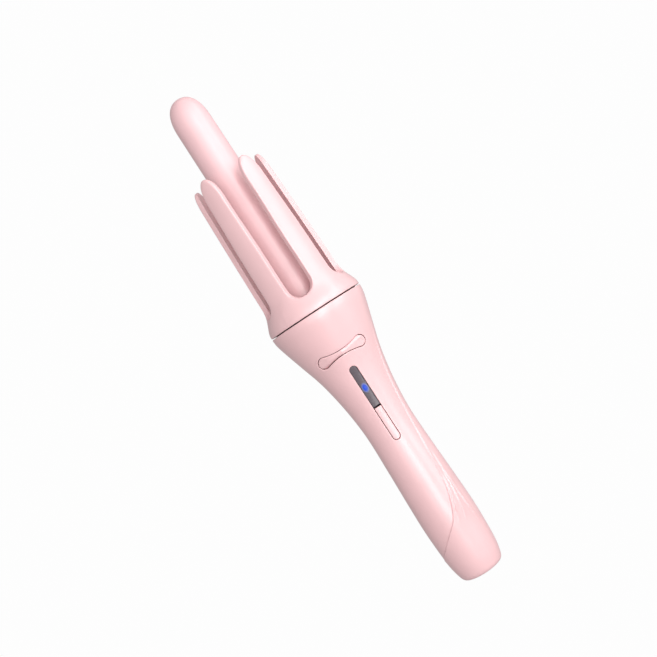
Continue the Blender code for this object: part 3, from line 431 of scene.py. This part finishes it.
class Sheet:
    """A closed curved plate, laid out on a flat plane and then lifted onto a surface.

    Its loops are closed outlines on the plane: the first is its border and the others are holes. Each has a
    fillet along its outer edge, of one width or of a width for each point.
    """

    def __init__(self, spacing):
        self.spacing = spacing
        self.loops = []
        self.widths = []
        self.seeds = []

    def add_loop(self, outline, fillet):
        """Adds a border or a hole, turned so that the material is on its left."""
        x, y = outline.T
        area = (x * np.roll(y, -1) - np.roll(x, -1) * y).sum()
        if (area > 0) == bool(self.loops):
            outline = outline[::-1]
        outline = resampled(outline, self.spacing)
        self.loops.append(outline)
        self.widths.append(fillet(outline) if callable(fillet) else np.full(len(outline), fillet))

    def sides(self):
        return np.vstack(self.loops), np.vstack([np.roll(loop, -1, axis=0) for loop in self.loops])

    def inside(self, points):
        """True where a point is in the material."""
        a, b = self.sides()
        level = np.where(b[:, 1] == a[:, 1], 1.0, b[:, 1] - a[:, 1])
        found = np.zeros(len(points), bool)
        for first in range(0, len(points), CHUNK):
            x, y = points[first:first + CHUNK].T[:, :, None]
            spans = (a[:, 1] > y) != (b[:, 1] > y)
            crossing = a[:, 0] + (y - a[:, 1]) * (b[:, 0] - a[:, 0]) / level
            found[first:first + CHUNK] = (spans & (x < crossing)).sum(1) % 2 == 1
        return found

    def edge_rows(self):
        """Rows of points beside each loop, where its edge rounds over."""
        rows = []
        reaches = []
        for loop, widths in zip(self.loops, self.widths):
            chord = np.roll(loop, -1, axis=0) - np.roll(loop, 1, axis=0)
            left = np.column_stack((-chord[:, 1], chord[:, 0])) / np.hypot(*chord.T)[:, None]
            for share in FILLET_ROWS:
                rows.append(loop + left * (share * widths)[:, None])
                reaches.append(share * widths)
        rows = np.vstack(rows)
        distance, _, _ = nearest_on(rows, *self.sides())
        return rows[(distance > 0.97 * np.concatenate(reaches)) & self.inside(rows)]

    def filling(self):
        """The seeds that lie clear of the rounded edges."""
        seeds = np.vstack(self.seeds)
        distance, index, _ = nearest_on(seeds, *self.sides())
        clear = np.concatenate(self.widths)[index] + 0.35 * self.spacing
        return seeds[(distance > clear) & self.inside(seeds)]

    def lifted(self, name, outer, inner):
        """Makes the plate. outer(points, drop) and inner(points, distance from the nearest edge) place it."""
        borders = []
        for loop in self.loops:
            base = len(borders)
            borders += [(base + n, base + (n + 1) % len(loop)) for n in range(len(loop))]
        flat = np.vstack((*self.loops, self.edge_rows(), self.filling()))
        points, _, triangles, *_ = delaunay_2d_cdt([Vector(p) for p in flat], borders, [], 0, 1e-5)
        points = np.array([tuple(p) for p in points])
        triangles = np.array([tuple(t) for t in triangles])
        triangles = triangles[self.inside(points[triangles].mean(1))]
        distance, index, _ = nearest_on(points, *self.sides())
        widths = np.concatenate(self.widths)[index]
        top = outer(points, fillet_drop(distance, widths, widths))
        bottom = inner(points, distance)
        count = len(points)
        edges = {(t[n], t[(n + 1) % 3]) for t in triangles.tolist() for n in range(3)}
        walls = [(b, a, a + count, b + count) for a, b in sorted(edges) if (b, a) not in edges]
        faces = triangles.tolist() + (triangles[:, ::-1] + count).tolist() + walls
        return mesh_object(name, np.vstack((top, bottom)), faces)


def grid_seeds(x_range, y_range, spacing):
    """Staggered rows of points over a rectangle."""
    rows = np.arange(y_range[0], y_range[1], spacing * 0.87)
    made = []
    for n, y in enumerate(rows):
        x = np.arange(x_range[0] + (n % 2) * spacing / 2, x_range[1], spacing)
        made.append(np.column_stack((x, np.full(len(x), y))))
    return np.vstack(made)


def revolved(name, profile, segments):
    """Turns a (station, radius) line about the axis. It starts and ends on the axis, or closes on itself."""
    on_axis = profile[0][1] == 0
    points = []
    faces = []
    for n in range(segments):
        a = 2 * math.pi * n / segments
        points += [(r * math.sin(a), s, r * math.cos(a)) for s, r in profile]
    size = len(profile)
    last = size - 1 if on_axis else size
    for n in range(segments):
        here, there = n * size, (n + 1) % segments * size
        for k in range(last):
            after = (k + 1) % size
            corners = [here + k, there + k, there + after, here + after]
            if on_axis and k == 0:
                corners = [0, there + after, here + after]
            elif on_axis and after == last:
                corners = [here + k, there + k, last]
            faces.append(corners)
    return mesh_object(name, points, faces)


# Handle shells -----------------------------------------------------------------------------------------------


def shell_surface(points, drop):
    """The handle's outer face with its creases, where a rounded edge drops below it."""
    azimuth = rolled(points)
    v = points[:, 1]
    return on_handle(azimuth, v, drop - relief(azimuth, v))


def shell_back(depth, upright_depth, side, reach):
    """The inner face of a shell. Near its openings the walls run square to the button side, that deep."""
    def back(points, distance):
        azimuth = rolled(points)
        plain = on_handle(azimuth, points[:, 1], depth)
        square = on_handle(azimuth, points[:, 1], 0.0) - (0, 0, side * upright_depth)
        middle = 0.0 if side > 0 else math.pi
        near = smooth_step(1 - distance / reach) * (np.abs(azimuth - middle) < math.radians(65))
        return plain + (square - plain) * near[:, None]
    return back


def shell_sheet(middle_deg):
    """The flat layout of one half shell, from the hole in its butt face to its top rim."""
    half = math.radians(90 - SHELL_GAP_DEG)
    middle = math.radians(middle_deg)
    up = np.concatenate((np.linspace(-1, 12, 50), np.arange(12.6, SEAM_S, 0.7), [SEAM_S]))
    across = np.radians(np.linspace(-90 + SHELL_GAP_DEG, 90 - SHELL_GAP_DEG, 160))[1:-1]
    border = np.vstack((
        unrolled(np.full(len(up), middle + half), up),
        unrolled(middle - across, np.full(len(across), SEAM_S)),
        unrolled(np.full(len(up), middle - half), up)[::-1],
        unrolled(middle + across, np.full(len(across), -1.0)),
    ))

    def fillet(outline):
        at_rim = smooth_step((outline[:, 1] - SEAM_S + 0.7) / 0.6)
        return PARTING_FILLET + (RIM_FILLET - PARTING_FILLET) * at_rim

    sheet = Sheet(0.7)
    sheet.add_loop(border, fillet)
    for start, end, spacing in ((-0.9, 12.0, 0.45), (12.0, 115.0, 0.7), (115.0, SEAM_S, 1.0)):
        for n, v in enumerate(np.arange(start, end, spacing)):
            azimuth = middle + half * np.linspace(-1, 1, 84 + n % 2)
            sheet.seeds.append(unrolled(azimuth, np.full(len(azimuth), v)))
    return sheet


def add_crease_rows(sheet, middle_deg):
    """Rows of points either side of each crease, so that its step stays crisp."""
    for crease, line in CREASE_LINES:
        chord = np.gradient(line, axis=0)
        right = np.column_stack((chord[:, 1], -chord[:, 0])) / np.hypot(*chord.T)[:, None]
        width = np.linspace(*crease["softness"], len(line))[:, None]
        for offset in (-0.8, -0.4, 0.0, 0.4, 0.8):
            row = line + right * offset * width
            if middle_deg > 90:
                azimuth = rolled(row)
                row = unrolled(azimuth + 2 * math.pi, row[:, 1])
            sheet.seeds.append(row)


def front_shell():
    """The button side's half shell, with the openings of the rocker and of the slot."""
    sheet = shell_sheet(0)
    sheet.add_loop(unrolled_outline(bow_tie(0)), OPENING_FILLET)
    sheet.add_loop(unrolled_outline(slot_outline(*SLOT_S, SLOT_HALF, True, True)), OPENING_FILLET)
    add_crease_rows(sheet, 0)
    return sheet.lifted("front_shell_skin", shell_surface, shell_back(WALL, WALL + 0.6, 1, 4.0))


def rear_shell():
    """The other half shell, with the four wells of the shell screws."""
    sheet = shell_sheet(180)
    for x, s, well_r in SHELL_SCREWS:
        well = arc((x, s), well_r, 0, 360, 32)[:-1]
        sheet.add_loop(unrolled_outline(well, math.pi), WELL_FILLET)
    add_crease_rows(sheet, 180)
    return sheet.lifted("rear_shell_skin", shell_surface, shell_back(WALL, WELL_DEPTH, -1, 1.6))


def butt_plug():
    """The shallow dished disc in the butt, with the mouth of the charging socket."""
    mouth_x, mouth_z = MOUTH_HALF
    reach = mouth_x - mouth_z
    right = arc((reach, 0), mouth_z, -90, 90, 20)
    sheet = Sheet(0.6)
    sheet.add_loop(arc((0, 0), PLUG_R, 0, 360, 96)[:-1], PLUG_FILLET)
    sheet.add_loop(np.vstack((right, -right)), MOUTH_FILLET)
    sheet.seeds.append(grid_seeds((-PLUG_R, PLUG_R), (-PLUG_R, PLUG_R), 0.9))

    def face(points, drop):
        dish = PLUG_DISH * smooth_step((PLUG_DISH_R - np.hypot(*points.T)) / 0.9)
        return np.column_stack((points[:, 0], BUTT_S + drop + dish, points[:, 1]))

    def back(points, distance):
        return np.column_stack((points[:, 0], np.full(len(points), BUTT_S + WALL), points[:, 1]))

    return sheet.lifted("butt_plug_disc", face, back)


# Controls ----------------------------------------------------------------------------------------------------


def key_back(depth):
    """The underside of a key, straight below its face."""
    def back(points, distance):
        return on_handle(rolled(points), points[:, 1], 0.0) - (0, 0, depth)
    return back


def rocker_button():
    """The bow-tie rocker: its lobes are dished, and its waist slopes away on the upper right and lower left."""
    sheet = Sheet(0.4)
    sheet.add_loop(unrolled_outline(bow_tie(KEY_GAP)), KEY_FILLET)
    span = ROCKER_HALF + 4
    sheet.seeds.append(grid_seeds((-span, span), (ROCKER_S - 6, ROCKER_S + 6), 0.5))
    lobe_x = ROCKER_HALF - ROCKER_END_R

    def face(points, drop):
        azimuth = rolled(points)
        place = on_handle(azimuth, points[:, 1], 0.0)
        from_lobe = np.hypot(np.abs(place[:, 0]) - lobe_x, place[:, 1] - ROCKER_S)
        dish = LOBE_DISH * smooth_step(1 - from_lobe / LOBE_DISH_R)
        above = (place[:, 1] - ROCKER_S - WAIST_LEAN * place[:, 0]) * np.sign(place[:, 0])
        twist = WAIST_TWIST * np.maximum(above, 0) * smooth_step((np.abs(place[:, 0]) + 1) / 5)
        return on_handle(azimuth, points[:, 1], drop + dish + twist)

    return sheet.lifted("rocker_key", face, key_back(ROCKER_DEPTH))


def strip_key(name, outline, fillet, sunk, crown_height):
    """A key or a lens that fills part of the slot. Its face bulges a little between its long edges."""
    sheet = Sheet(0.35)
    sheet.add_loop(unrolled_outline(outline), fillet)
    low, high = outline[:, 1].min(), outline[:, 1].max()
    sheet.seeds.append(grid_seeds((-SLOT_HALF, SLOT_HALF), (low, high), 0.5))

    def face(points, drop):
        across = np.clip(np.abs(points[:, 0]) / SLOT_HALF, 0, 1)
        return on_handle(rolled(points), points[:, 1], drop + sunk - crown_height * (1 - across**2))

    return sheet.lifted(name, face, key_back(STRIP_DEPTH))


def light_window():
    """The smoked lens at the rocker's end of the slot."""
    foot, head = WINDOW_FOOT_S + WINDOW_FOOT_GAP, SLOT_S[1] - WINDOW_GAP
    outline = slot_outline(foot, head, SLOT_HALF - WINDOW_GAP, False, True)
    return strip_key("window_lens", outline, WINDOW_FILLET, WINDOW_SUNK, 0.0)


def power_button():
    """The pink key that fills the slot's other end."""
    outline = slot_outline(SLOT_S[0] + KEY_GAP, WINDOW_FOOT_S - WINDOW_GAP, SLOT_HALF - KEY_GAP, True, False)
    return strip_key("power_key", outline, BUTTON_FILLET, 0.0, BUTTON_CROWN)


# Crown -------------------------------------------------------------------------------------------------------


def claw_contour():
    """The slot's edge, from the middle of its foot to the tip of the claw beside it, as columns of
    (place, station, claw half width, share of the way out from the slot's middle line).

    A place runs 0 to 1 round the foot, 1 to 2 up the claw's side and 2 to 3 round its tip.
    """
    columns = []
    for turn in np.linspace(0, 1, 15):
        a = turn * math.pi / 2
        station = CLAW_ROOT_S - (CLAW_ROOT_S - SLOT_FOOT_S) * math.cos(a)
        columns.append((turn, station, CLAW_HALF_WIDTH[0][1], math.sin(a)))
    turns = (np.linspace(0, 0.15, 5)[1:], np.linspace(0.15, 0.4, 9)[1:], np.linspace(0.4, 1, 17)[1:])
    for turn in np.concatenate(turns):
        station = CLAW_ROOT_S + (CLAW_ROUND_S - CLAW_ROOT_S) * turn
        columns.append((1 + turn, station, float(smooth_line(CLAW_HALF_WIDTH, station)), 1.0))
    for turn in np.linspace(0, 1, 22)[1:]:
        a = turn * math.pi / 2
        station = CLAW_ROUND_S + (CLAW_TIP_S - CLAW_ROUND_S) * math.sin(a) ** (2 / CLAW_ROUND_POWER)
        half = float(smooth_line(CLAW_HALF_WIDTH, station)) * math.cos(a)
        columns.append((2 + turn, station, half, 1.0))
    return columns


def claw_crown():
    """One half of a claw is laid out as columns of points; mirrored and turned, it makes the whole crown."""
    columns = []
    for place, station, half, share in claw_contour():
        far_s = float(np.interp(place, COLUMN_PLACES, COLUMN_END_STATIONS))
        far_azimuth = float(np.interp(place, COLUMN_PLACES, np.radians(COLUMN_END_AZIMUTHS)))
        fillet = CLAW_FILLET + (CLAW_TIP_FILLET - CLAW_FILLET) * float(smooth_step(place - 2))

        def edge_azimuth(radius):
            return share * (HALF_PITCH - math.asin(min(half / radius, 1.0)))

        def face_rows(line, foot_s, width, depth, sign):
            edge_r = float(smooth_line(line, station))
            length = math.hypot(station - foot_s, edge_r * (edge_azimuth(edge_r) - far_azimuth))
            rows = [0.0] + [width * f for f in FILLET_ROWS]
            rows += list(np.linspace(width, length - CROWN_RIM_FILLET, CROWN_FACE_ROWS)[1:])
            rows += [length - CROWN_RIM_FILLET * f for f in FILLET_ROWS[-2::-1]] + [length]
            made = []
            for distance in rows:
                t = distance / length
                s = station + (foot_s - station) * t
                drop = float(fillet_drop(distance, width, depth))
                if sign > 0 and foot_s == CROWN_FOOT_S:
                    drop += float(fillet_drop(s - CROWN_FOOT_S, CROWN_RIM_FILLET, CROWN_RIM_FILLET))
                r = float(smooth_line(line, s)) * (ROUND if sign > 0 else 1.0) - sign * drop
                azimuth = edge_azimuth(r) + (far_azimuth - edge_azimuth(r)) * t
                made.append((s, r, azimuth))
            return made

        front = face_rows(CROWN_LINE, far_s, fillet, CLAW_FILLET, 1)
        back = face_rows(CLAW_BACK_LINE, max(far_s, CROWN_BACK_S), CLAW_BACK_FILLET, CLAW_BACK_FILLET, -1)
        top_r, bottom_r = front[0][1], back[0][1]
        side = [(station, r, edge_azimuth(r)) for r in np.linspace(top_r, bottom_r, 5)[1:-1]]
        points = front[::-1] + side + back
        if place <= LAST_RING_PLACE + 1e-6:
            points += [(s, r, far_azimuth) for s, r in CROWN_INSIDE] + [front[-1]]
        columns.append(points)
    points = []
    faces = []
    for mirror in (False, True):
        for claw in range(CLAWS):
            starts = []
            for column in columns:
                starts.append(len(points))
                for s, r, azimuth in column:
                    a = (2 * HALF_PITCH - azimuth if mirror else azimuth) + 2 * HALF_PITCH * claw
                    points.append((r * math.sin(a), s, r * math.cos(a)))
            for n in range(len(columns) - 1):
                rows = min(len(columns[n]), len(columns[n + 1]))
                for k in range(rows - 1):
                    faces.append((starts[n] + k, starts[n + 1] + k, starts[n + 1] + k + 1, starts[n] + k + 1))
    return mesh_object("crown_claws", points, faces, sharp_deg=40.0, pointed=True)


# Barrel ------------------------------------------------------------------------------------------------------


def barrel():
    """The heated tube with its domed tip."""
    def dome(depth, radius, steps):
        angles = np.linspace(0, math.pi / 2, steps + 1)[:-1]
        share = 2 / DOME_POWER
        line = [(TIP_S - DOME + depth * math.sin(a) ** share, radius * math.cos(a) ** share) for a in angles]
        return line + [(TIP_S - DOME + depth, 0.0)]

    foot_r, tip_r = BARREL_R
    side_length = TIP_S - DOME - BARREL_FOOT_S
    side = [(s, foot_r + (tip_r - foot_r) * (s - BARREL_FOOT_S) / side_length)
            for s in np.linspace(BARREL_FOOT_S + BARREL_EDGE, TIP_S - DOME - 2, 12)]
    outer = [(BARREL_FOOT_S, foot_r - BARREL_EDGE)] + side + dome(DOME, tip_r, 28)
    inner = dome(DOME - BARREL_WALL, tip_r - BARREL_WALL, 10)
    profile = inner[::-1] + [(BARREL_FOOT_S, foot_r - BARREL_WALL)] + outer
    return revolved("barrel_tube", profile, 128)


# Materials ---------------------------------------------------------------------------------------------------

# Slot: base colour, roughness, metallic, size of its grain and of its mottling in millimetres, and how far the
# grain stands up in millimetres.
FINISHES = {
    "pink_shell": ((0.77, 0.495, 0.51), 0.31, 0.0, 0.16, 26.0, 0.002),
    "pink_crown": ((0.77, 0.50, 0.515), 0.34, 0.0, 0.30, 26.0, 0.0008),
    "pink_barrel": ((0.78, 0.505, 0.525), 0.40, 0.0, 0.10, 18.0, 0.002),
    "smoked_window": ((0.105, 0.085, 0.10), 0.22, 0.0, 0.30, 9.0, 0.001),
    "steel": ((0.60, 0.60, 0.62), 0.32, 1.0, 0.12, 4.0, 0.004),
    "brass": ((0.78, 0.60, 0.29), 0.33, 1.0, 0.12, 4.0, 0.004),
    "aluminium": ((0.74, 0.74, 0.76), 0.42, 1.0, 0.15, 6.0, 0.006),
    "white_nylon": ((0.82, 0.81, 0.77), 0.50, 0.0, 0.25, 9.0, 0.008),
    "black_nylon": ((0.022, 0.020, 0.022), 0.50, 0.0, 0.25, 9.0, 0.008),
    "heat_resin": ((0.14, 0.11, 0.10), 0.58, 0.0, 0.30, 7.0, 0.010),
    "board_green": ((0.02, 0.15, 0.07), 0.36, 0.0, 0.60, 3.0, 0.012),
    "cell_wrap": ((0.05, 0.19, 0.40), 0.34, 0.0, 0.40, 8.0, 0.004),
    "heater_ceramic": ((0.79, 0.77, 0.71), 0.70, 0.0, 0.20, 5.0, 0.010),
    "clear_guide": ((0.83, 0.86, 0.88), 0.12, 0.0, 0.50, 6.0, 0.002),
    "led_blue": ((0.05, 0.16, 0.90), 0.25, 0.0, 0.30, 2.0, 0.002),
    "wire_red": ((0.52, 0.04, 0.03), 0.46, 0.0, 0.20, 5.0, 0.004),
}
PINK_IOR = 1.7  # a little glossier than plain plastic
MIX_A = 6  # sockets of a colour mix
MIX_B = 7
MIX_RESULT = 2

# The indicator's glow: half width, half length and depth of its oval in millimetres, and its colours from the rim in.
GLOW_HALF = (2.5, 3.9, 12)
GLOW_STOPS = [
    (0.0, (0, 0, 0, 1)), (0.14, (0.005, 0.015, 0.06, 1)), (0.34, (0.02, 0.09, 0.40, 1)), (0.55, (0.0, 0.05, 0.62, 1)),
    (1.0, (0.004, 0.09, 0.78, 1)),
]
GLOW_CORE = (0.3, 0.55)  # between these shares of the way in, the lens turns to the core's dark colour
GLOW_CORE_COLOUR = (0.004, 0.010, 0.030, 1.0)


def noise(nodes, links, coordinates, size, detail):
    made = nodes.new("ShaderNodeTexNoise")
    made.inputs["Scale"].default_value = 1 / (size * MM)
    made.inputs["Detail"].default_value = detail
    links.new(coordinates, made.inputs["Vector"])
    return made.outputs["Fac"]


def spread(nodes, links, value, low, high):
    """The noise value spread over a range."""
    made = nodes.new("ShaderNodeMapRange")
    made.inputs["From Min"].default_value = 0.3
    made.inputs["From Max"].default_value = 0.7
    made.inputs["To Min"].default_value = low
    made.inputs["To Max"].default_value = high
    links.new(value, made.inputs["Value"])
    return made.outputs["Result"]


def finish(slot):
    """Moulded, drawn or printed surface: mottled tone, uneven gloss and a fine grain."""
    colour, roughness, metallic, grain_size, mottle_size, grain_height = FINISHES[slot]
    made = bpy.data.materials.new(slot)
    made.use_nodes = True
    nodes, links = made.node_tree.nodes, made.node_tree.links
    shader = nodes["Principled BSDF"]
    shader.inputs["Metallic"].default_value = metallic
    if slot.startswith("pink"):
        shader.inputs["IOR"].default_value = PINK_IOR
    place = nodes.new("ShaderNodeTexCoord").outputs["Object"]
    mottle = noise(nodes, links, place, mottle_size, 3)
    grain = noise(nodes, links, place, grain_size, 2)

    tone = nodes.new("ShaderNodeMix")
    tone.data_type = "RGBA"
    links.new(spread(nodes, links, mottle, 0.0, 1.0), tone.inputs["Factor"])
    for socket, gain in ((tone.inputs[MIX_A], 0.97), (tone.inputs[MIX_B], 1.02)):
        socket.default_value = (*[min(c * gain, 1.0) for c in colour], 1.0)
    links.new(tone.outputs[MIX_RESULT], shader.inputs["Base Color"])
    links.new(spread(nodes, links, grain, roughness - 0.03, roughness + 0.03), shader.inputs["Roughness"])

    bump = nodes.new("ShaderNodeBump")
    bump.inputs["Strength"].default_value = 0.5
    bump.inputs["Distance"].default_value = grain_height * MM
    links.new(grain, bump.inputs["Height"])
    links.new(bump.outputs["Normal"], shader.inputs["Normal"])
    return made


def light_up(made):
    """The blue indicator behind the smoked window: a bright oval in a soft halo."""
    nodes, links = made.node_tree.nodes, made.node_tree.links
    shader = nodes["Principled BSDF"]
    surface_z = float(handle_profile(LED_S)[1])
    centre = POSE @ Vector((0.0, LED_S, surface_z))
    place = nodes.new("ShaderNodeMapping")
    place.vector_type = "TEXTURE"
    place.inputs["Location"].default_value = centre
    place.inputs["Rotation"].default_value = (TILT, 0, 0)
    place.inputs["Scale"].default_value = [half * MM for half in GLOW_HALF]
    links.new(nodes.new("ShaderNodeTexCoord").outputs["Object"], place.inputs["Vector"])
    oval = nodes.new("ShaderNodeTexGradient")
    oval.gradient_type = "SPHERICAL"
    links.new(place.outputs["Vector"], oval.inputs["Vector"])
    glow = nodes.new("ShaderNodeValToRGB")
    while len(glow.color_ramp.elements) < len(GLOW_STOPS):
        glow.color_ramp.elements.new(0.5)
    for element, (position, colour) in zip(glow.color_ramp.elements, GLOW_STOPS):
        element.position = position
        element.color = colour
    links.new(oval.outputs["Fac"], glow.inputs["Fac"])

    core = nodes.new("ShaderNodeMapRange")
    core.inputs["From Min"].default_value, core.inputs["From Max"].default_value = GLOW_CORE
    links.new(oval.outputs["Fac"], core.inputs["Value"])
    tone = nodes.new("ShaderNodeMix")
    tone.data_type = "RGBA"
    tone.inputs[MIX_B].default_value = GLOW_CORE_COLOUR
    links.new(core.outputs["Result"], tone.inputs["Factor"])
    links.new(shader.inputs["Base Color"].links[0].from_socket, tone.inputs[MIX_A])
    links.new(tone.outputs[MIX_RESULT], shader.inputs["Base Color"])
    links.new(glow.outputs["Color"], shader.inputs["Emission Color"])
    shader.inputs["Emission Strength"].default_value = 1.0


def paint(obj, material):
    """Gives an object its one material."""
    obj.data.materials.clear()
    obj.data.materials.append(material)


# Assembly ----------------------------------------------------------------------------------------------------


def dress():
    """Puts every skin in place of its CAD node and gives all others their finish."""
    materials = {slot: finish(slot) for slot in FINISHES}
    light_up(materials["smoked_window"])
    skins = [
        (front_shell(), "handle_front_shell", "handle", "pink_shell"),
        (rear_shell(), "handle_rear_shell", "handle", "pink_shell"),
        (butt_plug(), "butt_plug", "handle", "pink_shell"),
        (rocker_button(), "rocker_button", "rocker", "pink_shell"),
        (light_window(), "light_window", "handle", "smoked_window"),
        (power_button(), "power_button", "power", "pink_shell"),
        (claw_crown(), "claw_crown", "crown", "pink_crown"),
        (barrel(), "barrel", "handle", "pink_barrel"),
    ]
    for skin, node, body, slot in skins:
        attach(skin, body)
        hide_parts(node)
        paint(skin, materials[slot])
    replaced = {node for _, node, _, _ in skins}
    for name, slot in node_slots().items():
        if name not in replaced:
            paint(frame["nodes"][name], materials[slot])


def node_slots():
    """The material slot of every CAD node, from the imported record."""
    return {entry["node"]: entry["material_slot"] for entry in frame["record"]["subparts"]}


# Studio ------------------------------------------------------------------------------------------------------


def emitter(name, colour, strength):
    """A plain glowing material."""
    made = bpy.data.materials.new(name)
    made.use_nodes = True
    nodes = made.node_tree.nodes
    nodes.clear()
    glow = nodes.new("ShaderNodeEmission")
    glow.inputs["Color"].default_value = (*colour, 1.0)
    glow.inputs["Strength"].default_value = strength
    output = nodes.new("ShaderNodeOutputMaterial")
    made.node_tree.links.new(glow.outputs["Emission"], output.inputs["Surface"])
    return made


def floor():
    """A pale table top, glowing the same even pale as the room seen behind it."""
    corners = [(x * FLOOR_HALF, y * FLOOR_HALF, 0) for x, y in ((-1, -1), (1, -1), (1, 1), (-1, 1))]
    mesh = bpy.data.meshes.new("floor")
    mesh.from_pydata(corners, [], [(0, 1, 2, 3)])
    obj = bpy.data.objects.new("floor", mesh)
    bpy.context.scene.collection.objects.link(obj)
    mesh.materials.append(emitter("pale_floor", PALE, 1.0))
    obj.visible_diffuse = False
    obj.visible_glossy = False


def room():
    """Pale to the camera, and a dimmer even fill for the curler."""
    world = bpy.data.worlds.new("room")
    bpy.context.scene.world = world
    world.use_nodes = True
    nodes, links = world.node_tree.nodes, world.node_tree.links
    nodes.clear()
    fill = nodes.new("ShaderNodeBackground")
    fill.inputs["Color"].default_value = (*FILL_COLOUR, 1.0)
    fill.inputs["Strength"].default_value = FILL_STRENGTH
    seen = nodes.new("ShaderNodeBackground")
    seen.inputs["Color"].default_value = (*PALE, 1.0)
    seen.inputs["Strength"].default_value = 1.0
    mix = nodes.new("ShaderNodeMixShader")
    links.new(nodes.new("ShaderNodeLightPath").outputs["Is Camera Ray"], mix.inputs["Fac"])
    links.new(fill.outputs["Background"], mix.inputs[1])
    links.new(seen.outputs["Background"], mix.inputs[2])
    output = nodes.new("ShaderNodeOutputWorld")
    links.new(mix.outputs["Shader"], output.inputs["Surface"])


def softbox(name, azimuth_deg, along_deg, roll_deg, distance, width, length, power, colour):
    """A soft panel that faces the middle of the curler."""
    light = bpy.data.lights.new(name, "AREA")
    light.shape = "RECTANGLE"
    light.size = width
    light.size_y = length
    light.energy = power
    light.color = colour
    obj = bpy.data.objects.new(name, light)
    bpy.context.scene.collection.objects.link(obj)
    a, b = math.radians(azimuth_deg), math.radians(along_deg)
    out = Vector((math.sin(a) * math.cos(b), math.sin(b), math.cos(a) * math.cos(b)))
    across = Vector((0, 1, 0)).cross(out).normalized()
    across.rotate(Matrix.Rotation(-math.radians(roll_deg), 3, out))
    turn = POSE.to_quaternion().to_matrix() @ Matrix((across, out.cross(across), out)).transposed()
    centre = POSE @ (Vector((0, MIDDLE_S, 0)) + out * distance / MM)
    obj.matrix_world = Matrix.Translation(centre) @ turn.to_4x4()


def studio():
    floor()
    room()
    for panel in SOFTBOXES:
        softbox(*panel)


def camera():
    """The view square to the curler's axis, from its button side."""
    lean = math.radians(LEAN_DEG)
    right = Vector((math.cos(lean), -math.sin(lean), 0))
    up = Vector((math.sin(lean), math.cos(lean), 0))
    back = Vector((0, 0, 1))
    target = Vector((0, MIDDLE_S, 0)) + right * VIEW_SHIFT[0] + up * VIEW_SHIFT[1]
    turn = POSE.to_quaternion().to_matrix() @ Matrix((right, up, back)).transposed()
    data = bpy.data.cameras.new("camera")
    data.sensor_width = SENSOR
    data.lens = SENSOR * VIEW_DISTANCE / VIEW_SPAN
    data.clip_start, data.clip_end = 0.05, 50
    obj = bpy.data.objects.new("camera", data)
    bpy.context.scene.collection.objects.link(obj)
    obj.matrix_world = Matrix.Translation(POSE @ (target + back * VIEW_DISTANCE)) @ turn.to_4x4()
    bpy.context.scene.camera = obj
    bpy.context.scene.view_settings.view_transform = "Standard"


dress()
studio()
camera()
